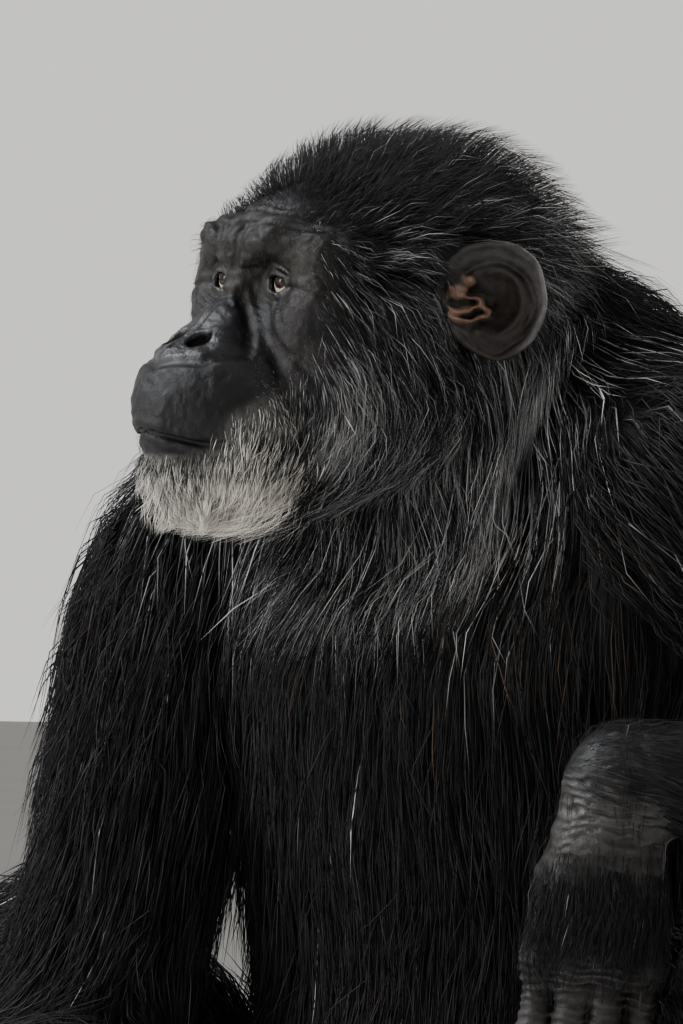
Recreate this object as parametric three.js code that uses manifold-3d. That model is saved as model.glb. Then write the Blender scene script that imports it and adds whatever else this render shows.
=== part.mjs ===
// A life-size adult chimpanzee, seated on its rump with its knees raised and splayed.
// The left forearm rests on the left knee and the hand hangs from the wrist; the right arm reaches
// down inside the right knee, and that hand lies on the floor. Millimetres, +Z up, the animal faces
// -Y, its left side is +X, and the origin is the middle of the flat under the rump.
import * as THREE from 'three';
import { mergeVertices } from 'three/addons/utils/BufferGeometryUtils.js';
import Module from 'manifold-3d';

const wasm = await Module();
wasm.setup();

const radians = THREE.MathUtils.degToRad;

// Driving sizes of the animal.
const GAP = 0.3; // air between two nodes that touch
const CORE = 7; // solid part of the body coat, over the skin
const HEAD_CORE = 4; // the same on the crown and cheeks
const HEAD_YAW = radians(18); // towards the animal's right
const HEAD_ROLL = radians(3);
const EYE_R = 11.5;
const LID = 2.6; // thickness of an eyelid
const EYE_OPEN = [10.6, 4.7]; // half width and half height of the opening between the lids
const FLOOR_SIDE = 1600;
const FLOOR_CLEAR = 4; // lowest that a lock's path may come
const SEED = 300; // of the coat's small variations

// Joints of the skeleton.
const J = {
  pelvis: [0, 0, 105],
  belly: [0, -30, 235],
  chest: [0, -54, 415],
  hump: [0, -28, 538],
  neckLow: [0, -82, 560],
  neckTop: [-6, -132, 640],
  head: [-10, -155, 670], // midway between the ear canals
  shoulderR: [-150, -120, 535],
  elbowR: [-152, -233, 268],
  wristR: [-26, -352, 52],
  shoulderL: [161, -110, 570],
  elbowL: [386, -46, 402],
  wristL: [208, -234, 427],
  hipR: [-88, -18, 104],
  kneeR: [-235, -150, 314],
  ankleR: [-205, -228, 72],
  hipL: [88, -18, 104],
  kneeL: [243, -156, 312],
  ankleL: [262, -222, 72],
};

const V = (a) => new THREE.Vector3(...a);
const add = (a, b, s = 1) => [a[0] + b[0] * s, a[1] + b[1] * s, a[2] + b[2] * s];
const sub = (a, b) => [a[0] - b[0], a[1] - b[1], a[2] - b[2]];
const dot = (a, b) => a[0] * b[0] + a[1] * b[1] + a[2] * b[2];
const cross = (a, b) => [1, 2, 0].map((i) => a[i] * b[(i + 1) % 3] - a[(i + 1) % 3] * b[i]);
const size = (a) => Math.hypot(a[0], a[1], a[2]);
const unit = (a) => add([0, 0, 0], a, 1 / (size(a) || 1));
const mix = (a, b, t) => add(a, sub(b, a), t);
const blend = (a, s, b, t) => a.map((x, i) => x * s + b[i] * t);
const clamp = (x, lo = 0, hi = 1) => Math.min(hi, Math.max(lo, x));
const smooth = (lo, hi, x) => {
  const t = clamp((x - lo) / (hi - lo));
  return t * t * (3 - 2 * t);
};

// Distances to simple forms, negative inside.
const ball = (p, c, r) => size(sub(p, c)) - r;
function egg(p, c, r) {
  const q = sub(p, c);
  const k0 = Math.hypot(q[0] / r[0], q[1] / r[1], q[2] / r[2]);
  const k1 = Math.hypot(q[0] / r[0] ** 2, q[1] / r[1] ** 2, q[2] / r[2] ** 2);
  return k1 === 0 ? -Math.min(...r) : (k0 * (k0 - 1)) / k1;
}
function cone(p, a, b, ra, rb) {
  const ab = sub(b, a);
  const t = clamp(dot(sub(p, a), ab) / dot(ab, ab));
  return size(sub(p, add(a, ab, t))) - (ra + (rb - ra) * t);
}
const join = (k, ...d) =>
  d.reduce((a, b) => {
    const h = Math.max(k - Math.abs(a - b), 0) / k;
    return Math.min(a, b) - (h * h * k) / 4;
  });
const carve = (k, a, b) => -join(k, -a, b);
function slope(field, p, e = 0.8) {
  return unit([0, 1, 2].map((i) => {
    const step = [0, 0, 0];
    step[i] = e;
    return field(add(p, step)) - field(sub(p, step));
  }));
}

// The head's own axes: across to its left, forward, up.
const HEAD = new THREE.Matrix4()
  .makeRotationFromEuler(new THREE.Euler(0, HEAD_ROLL, -HEAD_YAW, 'ZYX'))
  .setPosition(V(J.head));
const HEAD_BACK = HEAD.clone().invert();
const fromHead = ([across, forward, up]) => V([across, -forward, up]).applyMatrix4(HEAD).toArray();
function toHead(p) {
  const q = V(p).applyMatrix4(HEAD_BACK);
  return [q.x, -q.y, q.z];
}
const turnFromHead = (d) => sub(fromHead(d), fromHead([0, 0, 0]));

// Skin of the head, in its own axes.
const EYE = [26.6, 70, 15];
function faceField(h) {
  const q = [Math.abs(h[0]), h[1], h[2]];
  const skull = egg(q, [0, -8, 24], [63, 82, 53]);
  const forehead = egg(q, [0, 46, 27], [50, 43, 33]);
  const face = egg(q, [0, 52, -18], [54, 44, 56]);
  const cheekbone = cone(q, [42, 62, 0], [62, 26, -4], 17, 14);
  const innerBrow = cone(q, [0, 83, 34], [25, 83, 38], 10.5, 9.5);
  const brow = join(5, innerBrow, cone(q, [25, 83, 38], [49, 64, 33], 9.5, 11));
  const outerOrbit = cone(q, [49, 64, 32], [48, 66, 10], 11, 12.5);
  const orbit = join(8, outerOrbit, cone(q, [48, 66, 10], [38, 74, -14], 12.5, 12));
  const bridge = cone(q, [0, 75, 24], [0, 86, 0], 8.5, 9.5);
  const muzzle = egg(q, [0, 98, -46], [45, 45.5, 36]);
  const lip = cone(q, [0, 123, -55], [34, 97, -61], 23.5, 17);
  const lowerLip = cone(q, [0, 123, -75], [32, 96, -78], 16.5, 13);
  const chin = egg(q, [0, 90, -84], [34, 38, 20]);
  const jaw = cone(q, [50, 8, -46], [28, 80, -80], 23, 19);
  const cheek = egg(q, [44, 42, -36], [26, 40, 34]);
  const throat = egg(q, [0, 34, -62], [44, 56, 34]);
  let d = join(22, skull, forehead, face, cheek, throat, jaw, cheekbone);
  d = join(16, d, muzzle, chin);
  d = join(9, join(13, d, brow), orbit, bridge, lip, lowerLip);
  d = carve(8, d, egg(q, [27, 95, 14], [18, 16, 15]));
  const wing = cone(q, [8, 97, -8], [15.5, 107, -19], 8.5, 9.5);
  const noseTop = cone(q, [0, 97, -5], [0, 115, -23], 9.5, 8.5);
  const noseRim = cone(q, [0, 119, -27], [15, 110, -27], 5.5, 6);
  return join(5, d, join(5, wing, noseTop, noseRim));
}
// Bare face, forehead, lips: 0 where the skin is bare, 1 under the coat.
function headCoat(h) {
  const side = Math.abs(h[0]);
  const edge = 66 + 0.22 * Math.max(0, -h[2]) - 0.5 * Math.max(0, h[2] - 30) - 0.05 * side;
  const lowCheek = 30 * smooth(-58, -82, h[2]);
  return smooth(edge + lowCheek + 6, edge + lowCheek - 14, h[1]);
}
const headSkin = (p) => faceField(toHead(p));
const headCore = (p) => {
  const h = toHead(p);
  return faceField(h) - HEAD_CORE * headCoat(h);
};

// Skin of the trunk, the neck and each length of a limb.
function trunkSkin(p) {
  const q = [Math.abs(p[0]), p[1], p[2]];
  const pelvis = egg(q, J.pelvis, [126, 112, 125]);
  const belly = egg(q, J.belly, [149, 138, 175]);
  const chest = egg(q, J.chest, [146, 128, 155]);
  const hump = egg(q, J.hump, [122, 94, 108]);
  const yoke = cone(q, [0, -62, 590], [138, -92, 556], 62, 56);
  const pectoral = cone(q, [30, -150, 470], [120, -120, 500], 36, 40);
  const rump = cone(q, [66, 12, 70], [84, -14, 96], 66, 66);
  const nape = cone(q, [0, -75, 655], [48, -44, 620], 50, 50);
  const trapezius = cone(q, [48, -44, 620], [125, -78, 582], 50, 52);
  return join(30, join(40, pelvis, belly, chest, hump, yoke, pectoral, rump), nape, trapezius);
}
const neckSkin = (p) =>
  join(30, cone(p, J.neckLow, J.neckTop, 82, 62), cone(p, [0, -30, 580], [-3, -112, 690], 76, 52));
const LIMBS = {
  upper_arm: [[0, 53], [0.2, 51], [0.5, 43], [0.82, 36], [1, 36]],
  forearm: [[0, 36], [0.22, 40], [0.6, 33], [1, 27]],
  thigh: [[0, 76], [0.35, 68], [0.75, 52], [1, 46]],
  lower_leg: [[0, 43], [0.3, 44], [0.65, 33], [1, 27]],
};
function limbSkin(kind, a, b) {
  const rows = LIMBS[kind];
  return (p) => {
    const lengths = rows.slice(1).map(([t, r], i) => {
      const [from, radius] = rows[i];
      return cone(p, mix(a, b, from), mix(a, b, t), radius, r);
    });
    return join(14, ...lengths);
  };
}

// Closed bodies from rings of points, found along rays from an axis out to a field's surface.
function reach(field, level, from, way) {
  let t = 0;
  for (let i = 0; i < 90; i += 1) {
    const gapLeft = level - field(add(from, way, t));
    t += 0.85 * gapLeft;
    if (Math.abs(gapLeft) < 0.02) break;
  }
  return add(from, way, t);
}
function bodyOf(rings, start, end) {
  const n = rings[0].length;
  const points = [...rings.flat(), start, end].flat();
  const faces = [];
  rings.slice(1).forEach((_, k) => {
    for (let i = 0; i < n; i += 1) {
      const [a, b] = [k * n + i, k * n + ((i + 1) % n)];
      faces.push(a, b, b + n, a, b + n, a + n);
    }
  });
  const [first, last, top] = [rings.length * n, rings.length * n + 1, (rings.length - 1) * n];
  for (let i = 0; i < n; i += 1) {
    faces.push(first, (i + 1) % n, i);
    faces.push(last, top + i, top + ((i + 1) % n));
  }
  return solid(points, faces);
}
function solid(points, faces) {
  let volume = 0;
  const at = (i) => points.slice(3 * i, 3 * i + 3);
  for (let i = 0; i < faces.length; i += 3)
    volume += dot(at(faces[i]), cross(at(faces[i + 1]), at(faces[i + 2])));
  if (volume < 0)
    for (let i = 0; i < faces.length; i += 3) [faces[i], faces[i + 1]] = [faces[i + 1], faces[i]];
  const [vertProperties, triVerts] = [new Float32Array(points), new Uint32Array(faces)];
  return new wasm.Manifold(new wasm.Mesh({ numProp: 3, vertProperties, triVerts }));
}
function solidOf(geometry) {
  const bare = geometry.index ? geometry.toNonIndexed() : geometry.clone();
  for (const name of Object.keys(bare.attributes)) if (name !== 'position') bare.deleteAttribute(name);
  const merged = mergeVertices(bare, 1e-4);
  return solid([...merged.attributes.position.array], [...merged.index.array]);
}
// A sleeve round the axis a to b, with round ends; the ends lie inside what the limb grows from.
function sleeve(field, level, a, b, rings, sectors, caps = [2, 2]) {
  const along = unit(sub(b, a));
  const u = unit(cross(along, Math.abs(along[2]) > 0.9 ? [0, 1, 0] : [0, 0, 1]));
  const v = cross(along, u);
  const rows = [];
  const ring = (c, tilt) => {
    const row = [];
    for (let i = 0; i < sectors; i += 1) {
      const w = (2 * Math.PI * (i + 0.5 * (rows.length % 2))) / sectors;
      const flat = blend(u, Math.cos(w), v, Math.sin(w));
      row.push(reach(field, level, c, unit(blend(flat, Math.cos(tilt), along, Math.sin(tilt)))));
    }
    rows.push(row);
  };
  for (let k = caps[0]; k > 0; k -= 1) ring(a, (-k * Math.PI) / 2 / (caps[0] + 1));
  for (let k = 0; k < rings; k += 1) ring(mix(a, b, k / (rings - 1)), 0);
  for (let k = 1; k <= caps[1]; k += 1) ring(b, (k * Math.PI) / 2 / (caps[1] + 1));
  const back = add([0, 0, 0], along, -1);
  return bodyOf(rows, reach(field, level, a, back), reach(field, level, b, along));
}
const union = (list) => wasm.Manifold.union(list);
const largest = (m) => m.decompose().sort((a, b) => b.volume() - a.volume())[0];
const box = (w, d, h, at) => solidOf(new THREE.BoxGeometry(w, d, h).translate(...at));
const FLOOR = box(FLOOR_SIDE, FLOOR_SIDE, 200, [0, 0, -100]);

// Head: a globe of rays from a point behind the nose, finest on the face.
const HEAD_EYE_POINT = [0, 42, -4];
const HEAD_RINGS = [6, 12, 18, 24, 30, 36, 42, 48, 55, 63, 73, 86, 103, 124, 150];
const HEAD_SECTORS = 30;
function headBall(field, level) {
  const centre = fromHead(HEAD_EYE_POINT);
  const ray = (tilt, turn) => {
    const [c, s] = [Math.cos(tilt), Math.sin(tilt)];
    return unit(turnFromHead([s * Math.cos(turn), c, s * Math.sin(turn)]));
  };
  const rings = HEAD_RINGS.map((deg) => {
    const row = [];
    for (let i = 0; i < HEAD_SECTORS; i += 1) {
      const turn = (2 * Math.PI * (i + 0.5)) / HEAD_SECTORS;
      row.push(reach(field, level, centre, ray(radians(deg), turn)));
    }
    return row;
  });
  const pole = (tilt) => reach(field, level, centre, ray(tilt, 0));
  return bodyOf(rings, pole(0), pole(Math.PI));
}
function inHead(geometry) {
  const flip = new THREE.Matrix4().makeScale(1, -1, 1);
  return solidOf(geometry.applyMatrix4(flip).applyMatrix4(HEAD));
}
function eyeOpening(side) {
  const [w, h] = EYE_OPEN;
  const shape = new THREE.Shape();
  shape.moveTo(-w, -0.8);
  shape.bezierCurveTo(-w * 0.5, h * 1.35, w * 0.5, h * 1.35, w, 0.6);
  shape.bezierCurveTo(w * 0.5, -h * 1.2, -w * 0.5, -h * 1.25, -w, -0.8);
  const cut = new THREE.ExtrudeGeometry(shape, { depth: 26, bevelEnabled: false, curveSegments: 4 });
  cut.rotateX(-Math.PI / 2).rotateY(side * -0.08).rotateZ(side * -0.12);
  return inHead(cut.translate(side * EYE[0], EYE[1], EYE[2]));
}
const eyeBall = (side, r) =>
  inHead(new THREE.SphereGeometry(r, 9, 6).rotateX(Math.PI / 2).translate(side * EYE[0], EYE[1], EYE[2]));
const HALF_LIP_LINE = [[16, 141, -68], [28, 128, -71], [38, 112, -70]];
const LIP_LINE = new THREE.CatmullRomCurve3(
  [...HALF_LIP_LINE.map(([x, y, z]) => [-x, y, z]).reverse(), [0, 147, -64.5], ...HALF_LIP_LINE].map(V),
);
function mouthLine() {
  const section = new THREE.Shape();
  section.moveTo(-1.1, -9);
  section.lineTo(1.1, -9);
  section.lineTo(1.5, 9);
  section.lineTo(-1.5, 9);
  const along = { steps: 12, bevelEnabled: false, extrudePath: LIP_LINE };
  return inHead(new THREE.ExtrudeGeometry(section, along));
}
function nostril(side) {
  const pit = new THREE.SphereGeometry(1, 8, 6).scale(6, 11, 5).rotateY(side * 0.3).rotateX(0.75);
  return inHead(pit.translate(side * 10.5, 117, -18));
}
const SIDES = [-1, 1];
function makeHead() {
  const lids = SIDES.map((s) => eyeBall(s, EYE_R + LID));
  const cuts = SIDES.flatMap((s) => [eyeBall(s, EYE_R + GAP), eyeOpening(s), nostril(s)]);
  return union([headBall(headCore, 0), ...lids]).subtract(union([...cuts, mouthLine()]));
}

// Ear: a dish with a rolled rim, a deep bowl and a ridge inside it.
const EAR = { at: [83, -19, 8], high: 33, wide: 30, deep: 15, thick: 4.2, face: [0.82, 0.55, 0.1] };
const EAR_SECTORS = 14;
function makeEar(side, grow) {
  const facing = unit([side * EAR.face[0], EAR.face[1], EAR.face[2]]);
  const back = unit(cross([0, 0, side], facing)); // towards the nape
  const up = unit(cross(facing, back)).map((x) => side * x);
  const point = (r, w, out, more = 0) => {
    const [c, s] = [Math.cos(w), Math.sin(w)];
    const wide = EAR.wide * (1 + 0.1 * s + 0.06 * c);
    const high = EAR.high * (s > 0 ? 1 : 0.92 - 0.1 * c);
    const middle = add([side * EAR.at[0], EAR.at[1], EAR.at[2]], facing, out);
    return fromHead(add(middle, blend(back, (r * wide + more) * c, up, (r * high + more) * s)));
  };
  const dish = (r) => -EAR.deep * (1 - r) ** 1.4 + 3.2 * Math.exp(-(((r - 0.42) / 0.1) ** 2));
  const front = [0.14, 0.34, 0.5, 0.7, 0.86].map((r) => [r, dish(r) + 1.6 * grow, 0]);
  const wider = 1.5 * grow;
  const rim = [[0.95, 2.4 + 1.6 * grow, 0.5 * grow], [1, 0.4, wider], [0.97, -2.2 - wider, wider]];
  const rear = [0.75, 0.45].map((r) => [r, -EAR.deep * (1 - r) ** 1.4 - EAR.thick - grow, grow]);
  const rows = [...front, ...rim, ...rear].map(([r, out, more]) => {
    const row = [];
    for (let i = 0; i < EAR_SECTORS; i += 1) row.push(point(r, (2 * Math.PI * i) / EAR_SECTORS, out, more));
    return row;
  });
  return bodyOf(rows, point(0, 0, dish(0) + 1.6 * grow), point(0, 0, -EAR.deep - EAR.thick - 8 - grow));
}

// A bent tube through points with a radius at each, flattened across `flat`.
function tube(points, radii, sides, flat = [0, 0, 1], squeeze = 1) {
  const rows = points.map((c, k) => {
    const along = unit(sub(points[Math.min(k + 1, points.length - 1)], points[Math.max(k - 1, 0)]));
    const u = unit(cross(flat, along));
    const v = cross(along, u);
    const row = [];
    for (let i = 0; i < sides; i += 1) {
      const w = (2 * Math.PI * (i + 0.5)) / sides;
      row.push(add(add(c, u, radii[k] * Math.cos(w)), v, radii[k] * squeeze * Math.sin(w)));
    }
    return row;
  });
  const [first, last] = [points[0], points.at(-1)];
  const outward = (p, q, r) => add(p, unit(sub(p, q)), r * 0.55);
  return bodyOf(rows, outward(first, points[1], radii[0]), outward(last, points.at(-2), radii.at(-1)));
}
// A digit: three bones, each bent from the last towards the palm.
function digit(root, along, palm, bones, radius, bends, grow) {
  let [way, down] = [along, palm];
  const points = [add(root, along, -radius * 1.6), root];
  const radii = [radius + grow, radius * 1.02 + grow];
  bones.forEach((length, k) => {
    const turn = radians(bends[k]);
    const [c, s] = [Math.cos(turn), Math.sin(turn)];
    [way, down] = [blend(way, c, down, s), blend(down, c, way, -s)];
    const from = points.at(-1);
    const thin = radius * (1 - 0.1 * (k + 1));
    points.push(add(from, way, length));
    radii.push((k < bones.length - 1 ? thin * 1.02 : thin * 0.76) + grow);
  });
  return tube(points, radii, 6, palm, 0.9);
}
// A hand or foot: a palm of four rays and its digits, in axes along, across (to the thumb) and palm.
const HAND = {
  palm: 94, thick: 14, spread: 16, thumb: [24, 24, 18],
  digits: [[42, 27, 20], [47, 31, 22], [45, 30, 21], [36, 23, 18]],
};
function makeHand(root, along, palm, thumbSide, bends, thumb, grow) {
  const across = unit(cross(palm, along)).map((x) => x * thumbSide);
  const knuckles = HAND.digits.map((_, i) => {
    const off = (1.5 - i) * HAND.spread;
    const ahead = HAND.palm - 2.2 * (i - 1.2) ** 2;
    return add(add(root, blend(along, ahead, across, off)), palm, 0.012 * off * off);
  });
  const heel = (i) => add(root, blend(across, (1.5 - i) * 8, along, 4));
  const field = (p) => join(12, ...knuckles.map((k, i) => cone(p, heel(i), k, HAND.thick, 12.5)));
  const middle = mix(knuckles[1], knuckles[2], 0.5);
  const pieces = [sleeve(field, grow, add(root, along, 4), middle, 4, 12, [1, 1])];
  HAND.digits.forEach((bones, i) => {
    const fan = unit(add(along, across, (1.5 - i) * 0.045));
    pieces.push(digit(knuckles[i], fan, palm, bones, 10.2 - 0.7 * Math.abs(i - 1.3), bends, grow));
  });
  const thumbRoot = add(add(root, blend(along, 22, across, 20)), palm, 6);
  const thumbWay = unit(add(add(along, across, thumb), palm, 0.25));
  pieces.push(digit(thumbRoot, thumbWay, palm, HAND.thumb, 9, [0, 8, 14], grow));
  return union(pieces);
}
const FOOT = { length: 128, toes: [[26, 25], [29, 28], [27, 26], [23, 23]], bigToe: [36, 40] };
function makeFoot(ankle, along, inner, grow) {
  const sole = [0, 0, -1];
  const low = (p, z) => [p[0], p[1], z];
  const heel = low(add(ankle, along, -26), 24);
  const knuckles = FOOT.toes.map((_, i) =>
    low(add(add(ankle, along, FOOT.length - 7 * i), inner, (1.2 - i) * 17), 13.5));
  const instep = (p) => cone(p, add(ankle, sole, 4), low(add(ankle, along, 40), 30), 29, 24);
  const arch = (p) => cone(p, heel, low(add(ankle, along, 50), 22), 27, 22);
  const middle = (i) => low(add(ankle, blend(along, 34, inner, (1.2 - i) * 9)), 24);
  const rays = (p) => knuckles.map((k, i) => cone(p, middle(i), k, 22, 13));
  const field = (p) => join(14, instep(p), arch(p), ...rays(p));
  const pieces = [sleeve(field, grow, heel, low(add(ankle, along, FOOT.length - 20), 15), 6, 12, [2, 1])];
  FOOT.toes.forEach((bones, i) => {
    const way = unit(add(along, inner, 0.05 * (1.5 - i)));
    pieces.push(digit(knuckles[i], way, sole, bones, 10.5, [6, 20], grow));
  });
  const toeRoot = low(add(ankle, blend(along, 42, inner, 24)), 17);
  pieces.push(digit(toeRoot, unit(add(along, inner, 0.75)), sole, FOOT.bigToe, 13, [2, 8], grow));
  return union(pieces);
}

// Locks of the coat: flat, tapered, rooted in the core, bent along the lie of the hair.
// Each row: how far along the lock, its width, how high it stands and its ridge, as shares.
const LOCK = {
  long: [[0, 0.82, 0, 0.5], [0.3, 1, 0.4, 1], [0.7, 0.68, 0.7, 0.8], [1, 0, 1, 0.3]],
  short: [[0, 0.9, 0, 0.5], [0.5, 0.95, 0.55, 1], [1, 0, 1, 0.3]],
};
const LOCK_GAP = 0.9; // air between the locks of two nodes, before bends
const CREASE = 16; // how widely a lock bridges the crease between its node and one under it
function settle(field, level, p) {
  let q = p;
  for (let i = 0; i < 3; i += 1) q = add(q, slope(field, q), level - field(q));
  return q;
}
function lockPath(surface, flow, root, length) {
  const steps = 6;
  const path = [root];
  for (let i = 0; i < steps; i += 1) {
    const p = path.at(-1);
    const n = slope(surface, p);
    const d = flow(p);
    const flat = unit(add(d, n, -dot(d, n)));
    path.push(settle(surface, 0, add(p, flat, length / steps)));
  }
  return path;
}
function lockBody(coat, { surface, path, width, lift }, grow) {
  const line = new THREE.CatmullRomCurve3(path.map(V));
  const form = LOCK[coat.form];
  const last = form.length - 1;
  const rows = form.map(([t, wide, rise, ridge], k) => {
    const on = line.getPoint(t).toArray();
    const way = line.getTangent(t).toArray();
    const past = (k === last ? 4 * grow : 0) - (k === 0 ? grow : 0); // a grown lock is longer at both ends
    const p = add(on, way, past);
    const n = slope(surface, on);
    const side = unit(cross(way, n));
    const high = k === 0 ? -coat.sink : lift * rise;
    const half = (width * wide) / 2 + 1.5 * grow;
    const edge = (s) => add(settle(surface, high, add(p, side, s * half)), n, -grow);
    const top = add(p, n, high + coat.ridge * ridge + grow);
    return k === last ? top : [edge(-1), top, edge(1)];
  });
  const tip = rows.pop();
  const first = rows[0];
  return bodyOf(rows, mix(first[0], first[2], 0.5), tip);
}
// One lock at a root. It may lie over the nodes in `under`, and is shortened or left out where it
// would run into one of `others` or the floor.
function growLock(coat, root, draw, under, others) {
  const [length, width, lift] = coat.size(root).map((x) => x * (0.9 + 0.16 * draw()));
  if ([...under, ...others].some((f) => f(root) < 0.5)) return [];
  const both = (p) => join(CREASE, coat.field(p), ...under.map((f) => f(p) - 1));
  const surface = under.length ? both : coat.field;
  for (const part of [1, 0.8, 0.62, 0.48, 0.36]) {
    const path = lockPath(surface, coat.flow, root, length * part);
    const clear = (p) => p[2] > FLOOR_CLEAR && others.every((f) => f(p) > 2);
    if (clear(path.at(-1)) && clear(path[3])) return [{ surface, path, width, lift: lift * part }];
  }
  return [];
}

// Coat of a limb: rows of locks round its axis, each row standing between those of the row before.
function ringRoots(field, a, b, rows, sectors, draw) {
  const along = unit(sub(b, a));
  const u = unit(cross(along, Math.abs(along[2]) > 0.9 ? [0, 1, 0] : [0, 0, 1]));
  const v = cross(along, u);
  return rows.flatMap((t, k) =>
    Array.from({ length: sectors }, (_, i) => {
      const w = (2 * Math.PI * (i + 0.5 * (k % 2) + 0.12 * (draw() - 0.5))) / sectors;
      const way = blend(u, Math.cos(w), v, Math.sin(w));
      return reach(field, 0, mix(a, b, t + 0.04 * (draw() - 0.5)), way);
    }));
}
// A small seeded generator, so that the same coat grows each time.
function seeded(seed) {
  let a = seed;
  return () => {
    a = (a + 0x6d2b79f5) | 0;
    let t = Math.imul(a ^ (a >>> 15), 1 | a);
    t = (t + Math.imul(t ^ (t >>> 7), 61 | t)) ^ t;
    return ((t ^ (t >>> 14)) >>> 0) / 4294967296;
  };
}

// The core of the torso, in level rings round its spine.
const TORSO_SECTORS = 16;
const TORSO_LEVELS = [0, 28, 90, 175, 265, 355, 430, 485, 535, 580, 622, 655];
const SPINE = new THREE.CatmullRomCurve3(
  [[0, 0, 0], [0, -6, 105], J.belly, J.chest, [0, -58, 545], [0, -60, 665]].map(V),
);
function spineAt(z) {
  let [lo, hi] = [0, 1];
  for (let i = 0; i < 24; i += 1) {
    const t = (lo + hi) / 2;
    if (SPINE.getPoint(t).z < z) lo = t;
    else hi = t;
  }
  return SPINE.getPoint(lo).toArray();
}
const round = (w) => [Math.cos(w), Math.sin(w), 0];
function torsoBody(field, grow) {
  const rows = TORSO_LEVELS.map((z) =>
    Array.from({ length: TORSO_SECTORS }, (_, i) =>
      reach(field, grow, spineAt(z), round((2 * Math.PI * (i + 0.5)) / TORSO_SECTORS))));
  return bodyOf(rows, [0, 0, -grow], reach(field, grow, spineAt(TORSO_LEVELS.at(-1)), [0, 0, 1]));
}
const thinning = (skin, a, b, from) => (p) => {
  const t = clamp(dot(sub(p, a), sub(b, a)) / dot(sub(b, a), sub(b, a)));
  return skin(p) - CORE * (1 - smooth(from, 1, t));
};

// Every node: its pivot, colour, core, the field round it, and its coat.
const COAT = { colour: '#15151a', roughness: 0.75 };
const SKIN = { colour: '#2b2829', roughness: 0.5 };
const EYES = { colour: '#3a2413', roughness: 0.1 };
const NODES = new Map();
function define(name, pivot, finish, field, core, coat) {
  NODES.set(name, { name, pivot, ...finish, field, core, coat });
}
const crown = (h) => smooth(22, 50, h[2]) * smooth(62, 40, h[1]);
const beard = (h) => smooth(52, 70, h[1]) * smooth(-58, -74, h[2]);
function headFlow(p) {
  const h = toHead(p);
  const cheek = [Math.sign(h[0]) * 0.1, -0.38 + 0.55 * smooth(-20, -70, h[2]), -1];
  const up = [0, -1, 0.12];
  const down = [Math.sign(h[0]) * 0.15, 0.1, -1];
  return unit(turnFromHead(mix(mix(unit(cheek), up, crown(h)), unit(down), beard(h))));
}
const EAR_ZONE = [-22, 8, 40]; // forward, up and reach of the patch each ear stands in
function headRoots(draw) {
  const roots = [];
  const ray = (from, way) => roots.push(reach(headCore, 0, fromHead(from), unit(turnFromHead(way))));
  CROWN_ROWS.forEach(([forward, count, spread], k) => {
    for (let i = 0; i < count; i += 1) {
      const place = i + 0.25 * (draw() - 0.5) + 0.25 * (k % 2);
      const w = radians(spread * ((2 * place) / (count - 1) - 1));
      ray([0, forward + 6 * (draw() - 0.5), 8], [Math.sin(w), 0, Math.cos(w)]);
    }
  });
  for (const side of SIDES)
    for (const [up, forwards] of CHEEK_ROWS)
      for (const forward of forwards)
        ray([0, forward + 5 * (draw() - 0.5), up + 5 * (draw() - 0.5)], [side, 0, 0]);
  BEARD_ROWS.forEach(([up, count, spread]) => {
    for (let i = 0; i < count; i += 1) {
      const w = radians(spread * ((2 * (i + 0.2 * (draw() - 0.5))) / (count - 1) - 1));
      ray([0, 62, up], [Math.sin(w), Math.cos(w), 0]);
    }
  });
  return roots.filter((p) => {
    const h = toHead(p);
    return Math.hypot(h[1] - EAR_ZONE[0], h[2] - EAR_ZONE[1]) > EAR_ZONE[2] || Math.abs(h[0]) < 50;
  });
}
const CROWN_ROWS = [[44, 4, 42], [18, 5, 68], [-8, 5, 74], [-34, 5, 78], [-60, 5, 84]];
const CHEEK_ROWS = [[28, [42]], [2, [42]], [-24, [50, 22]], [-52, [56, 32, 8]]];
const BEARD_ROWS = [[-82, 7, 80], [-96, 6, 70]];

define('head', J.head, SKIN, headCore, (g) => headBall(headCore, g), {
  field: headCore, flow: headFlow, roots: headRoots, form: 'short', ridge: 4.5, sink: 6, over: ['neck'],
  size(p) {
    const h = toHead(p);
    const high = crown(h);
    return [46 + 4 * high, 31 - 4 * beard(h), 10 + 17 * high + 2 * beard(h)];
  },
});
for (const [side, k] of [['left', 1], ['right', -1]]) {
  const far = (p) => ball(p, fromHead([k * 88, -22, 8]), 34);
  define(`ear_${side}`, fromHead([k * 66, 0, 0]), SKIN, far, (g) => makeEar(k, g));
}
const neck = (p) => neckSkin(p) - CORE;
define('neck', J.neckLow, COAT, neck, (g) => sleeve(neck, g, J.neckLow, J.neckTop, 4, 14), {
  form: 'long', field: neck, ridge: 6, sink: 8, over: ['torso'],
  flow: () => [0, 0.15, -1],
  size: () => [92, 42, 15],
  roots: (draw) => ringRoots(neck, J.neckLow, J.neckTop, [1.25, 0.85, 0.5, 0.15], 11, draw),
});
const HANG = { along: unit([-0.08, -0.1, -1]), palm: unit([-0.6, 0.8, -0.06]) };
const LAID = { along: unit([0.22, -0.97, -0.16]), palm: unit([0.03, -0.15, -0.98]) };
const HANDS = {
  left: (g) => makeHand(add(J.wristL, HANG.along, 8), HANG.along, HANG.palm, 1, [6, 12, 10], 0.2, g),
  right: (g) => makeHand(add(J.wristR, LAID.along, 8), LAID.along, LAID.palm, -1, [-4, 22, 14], 0.5, g),
};
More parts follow.
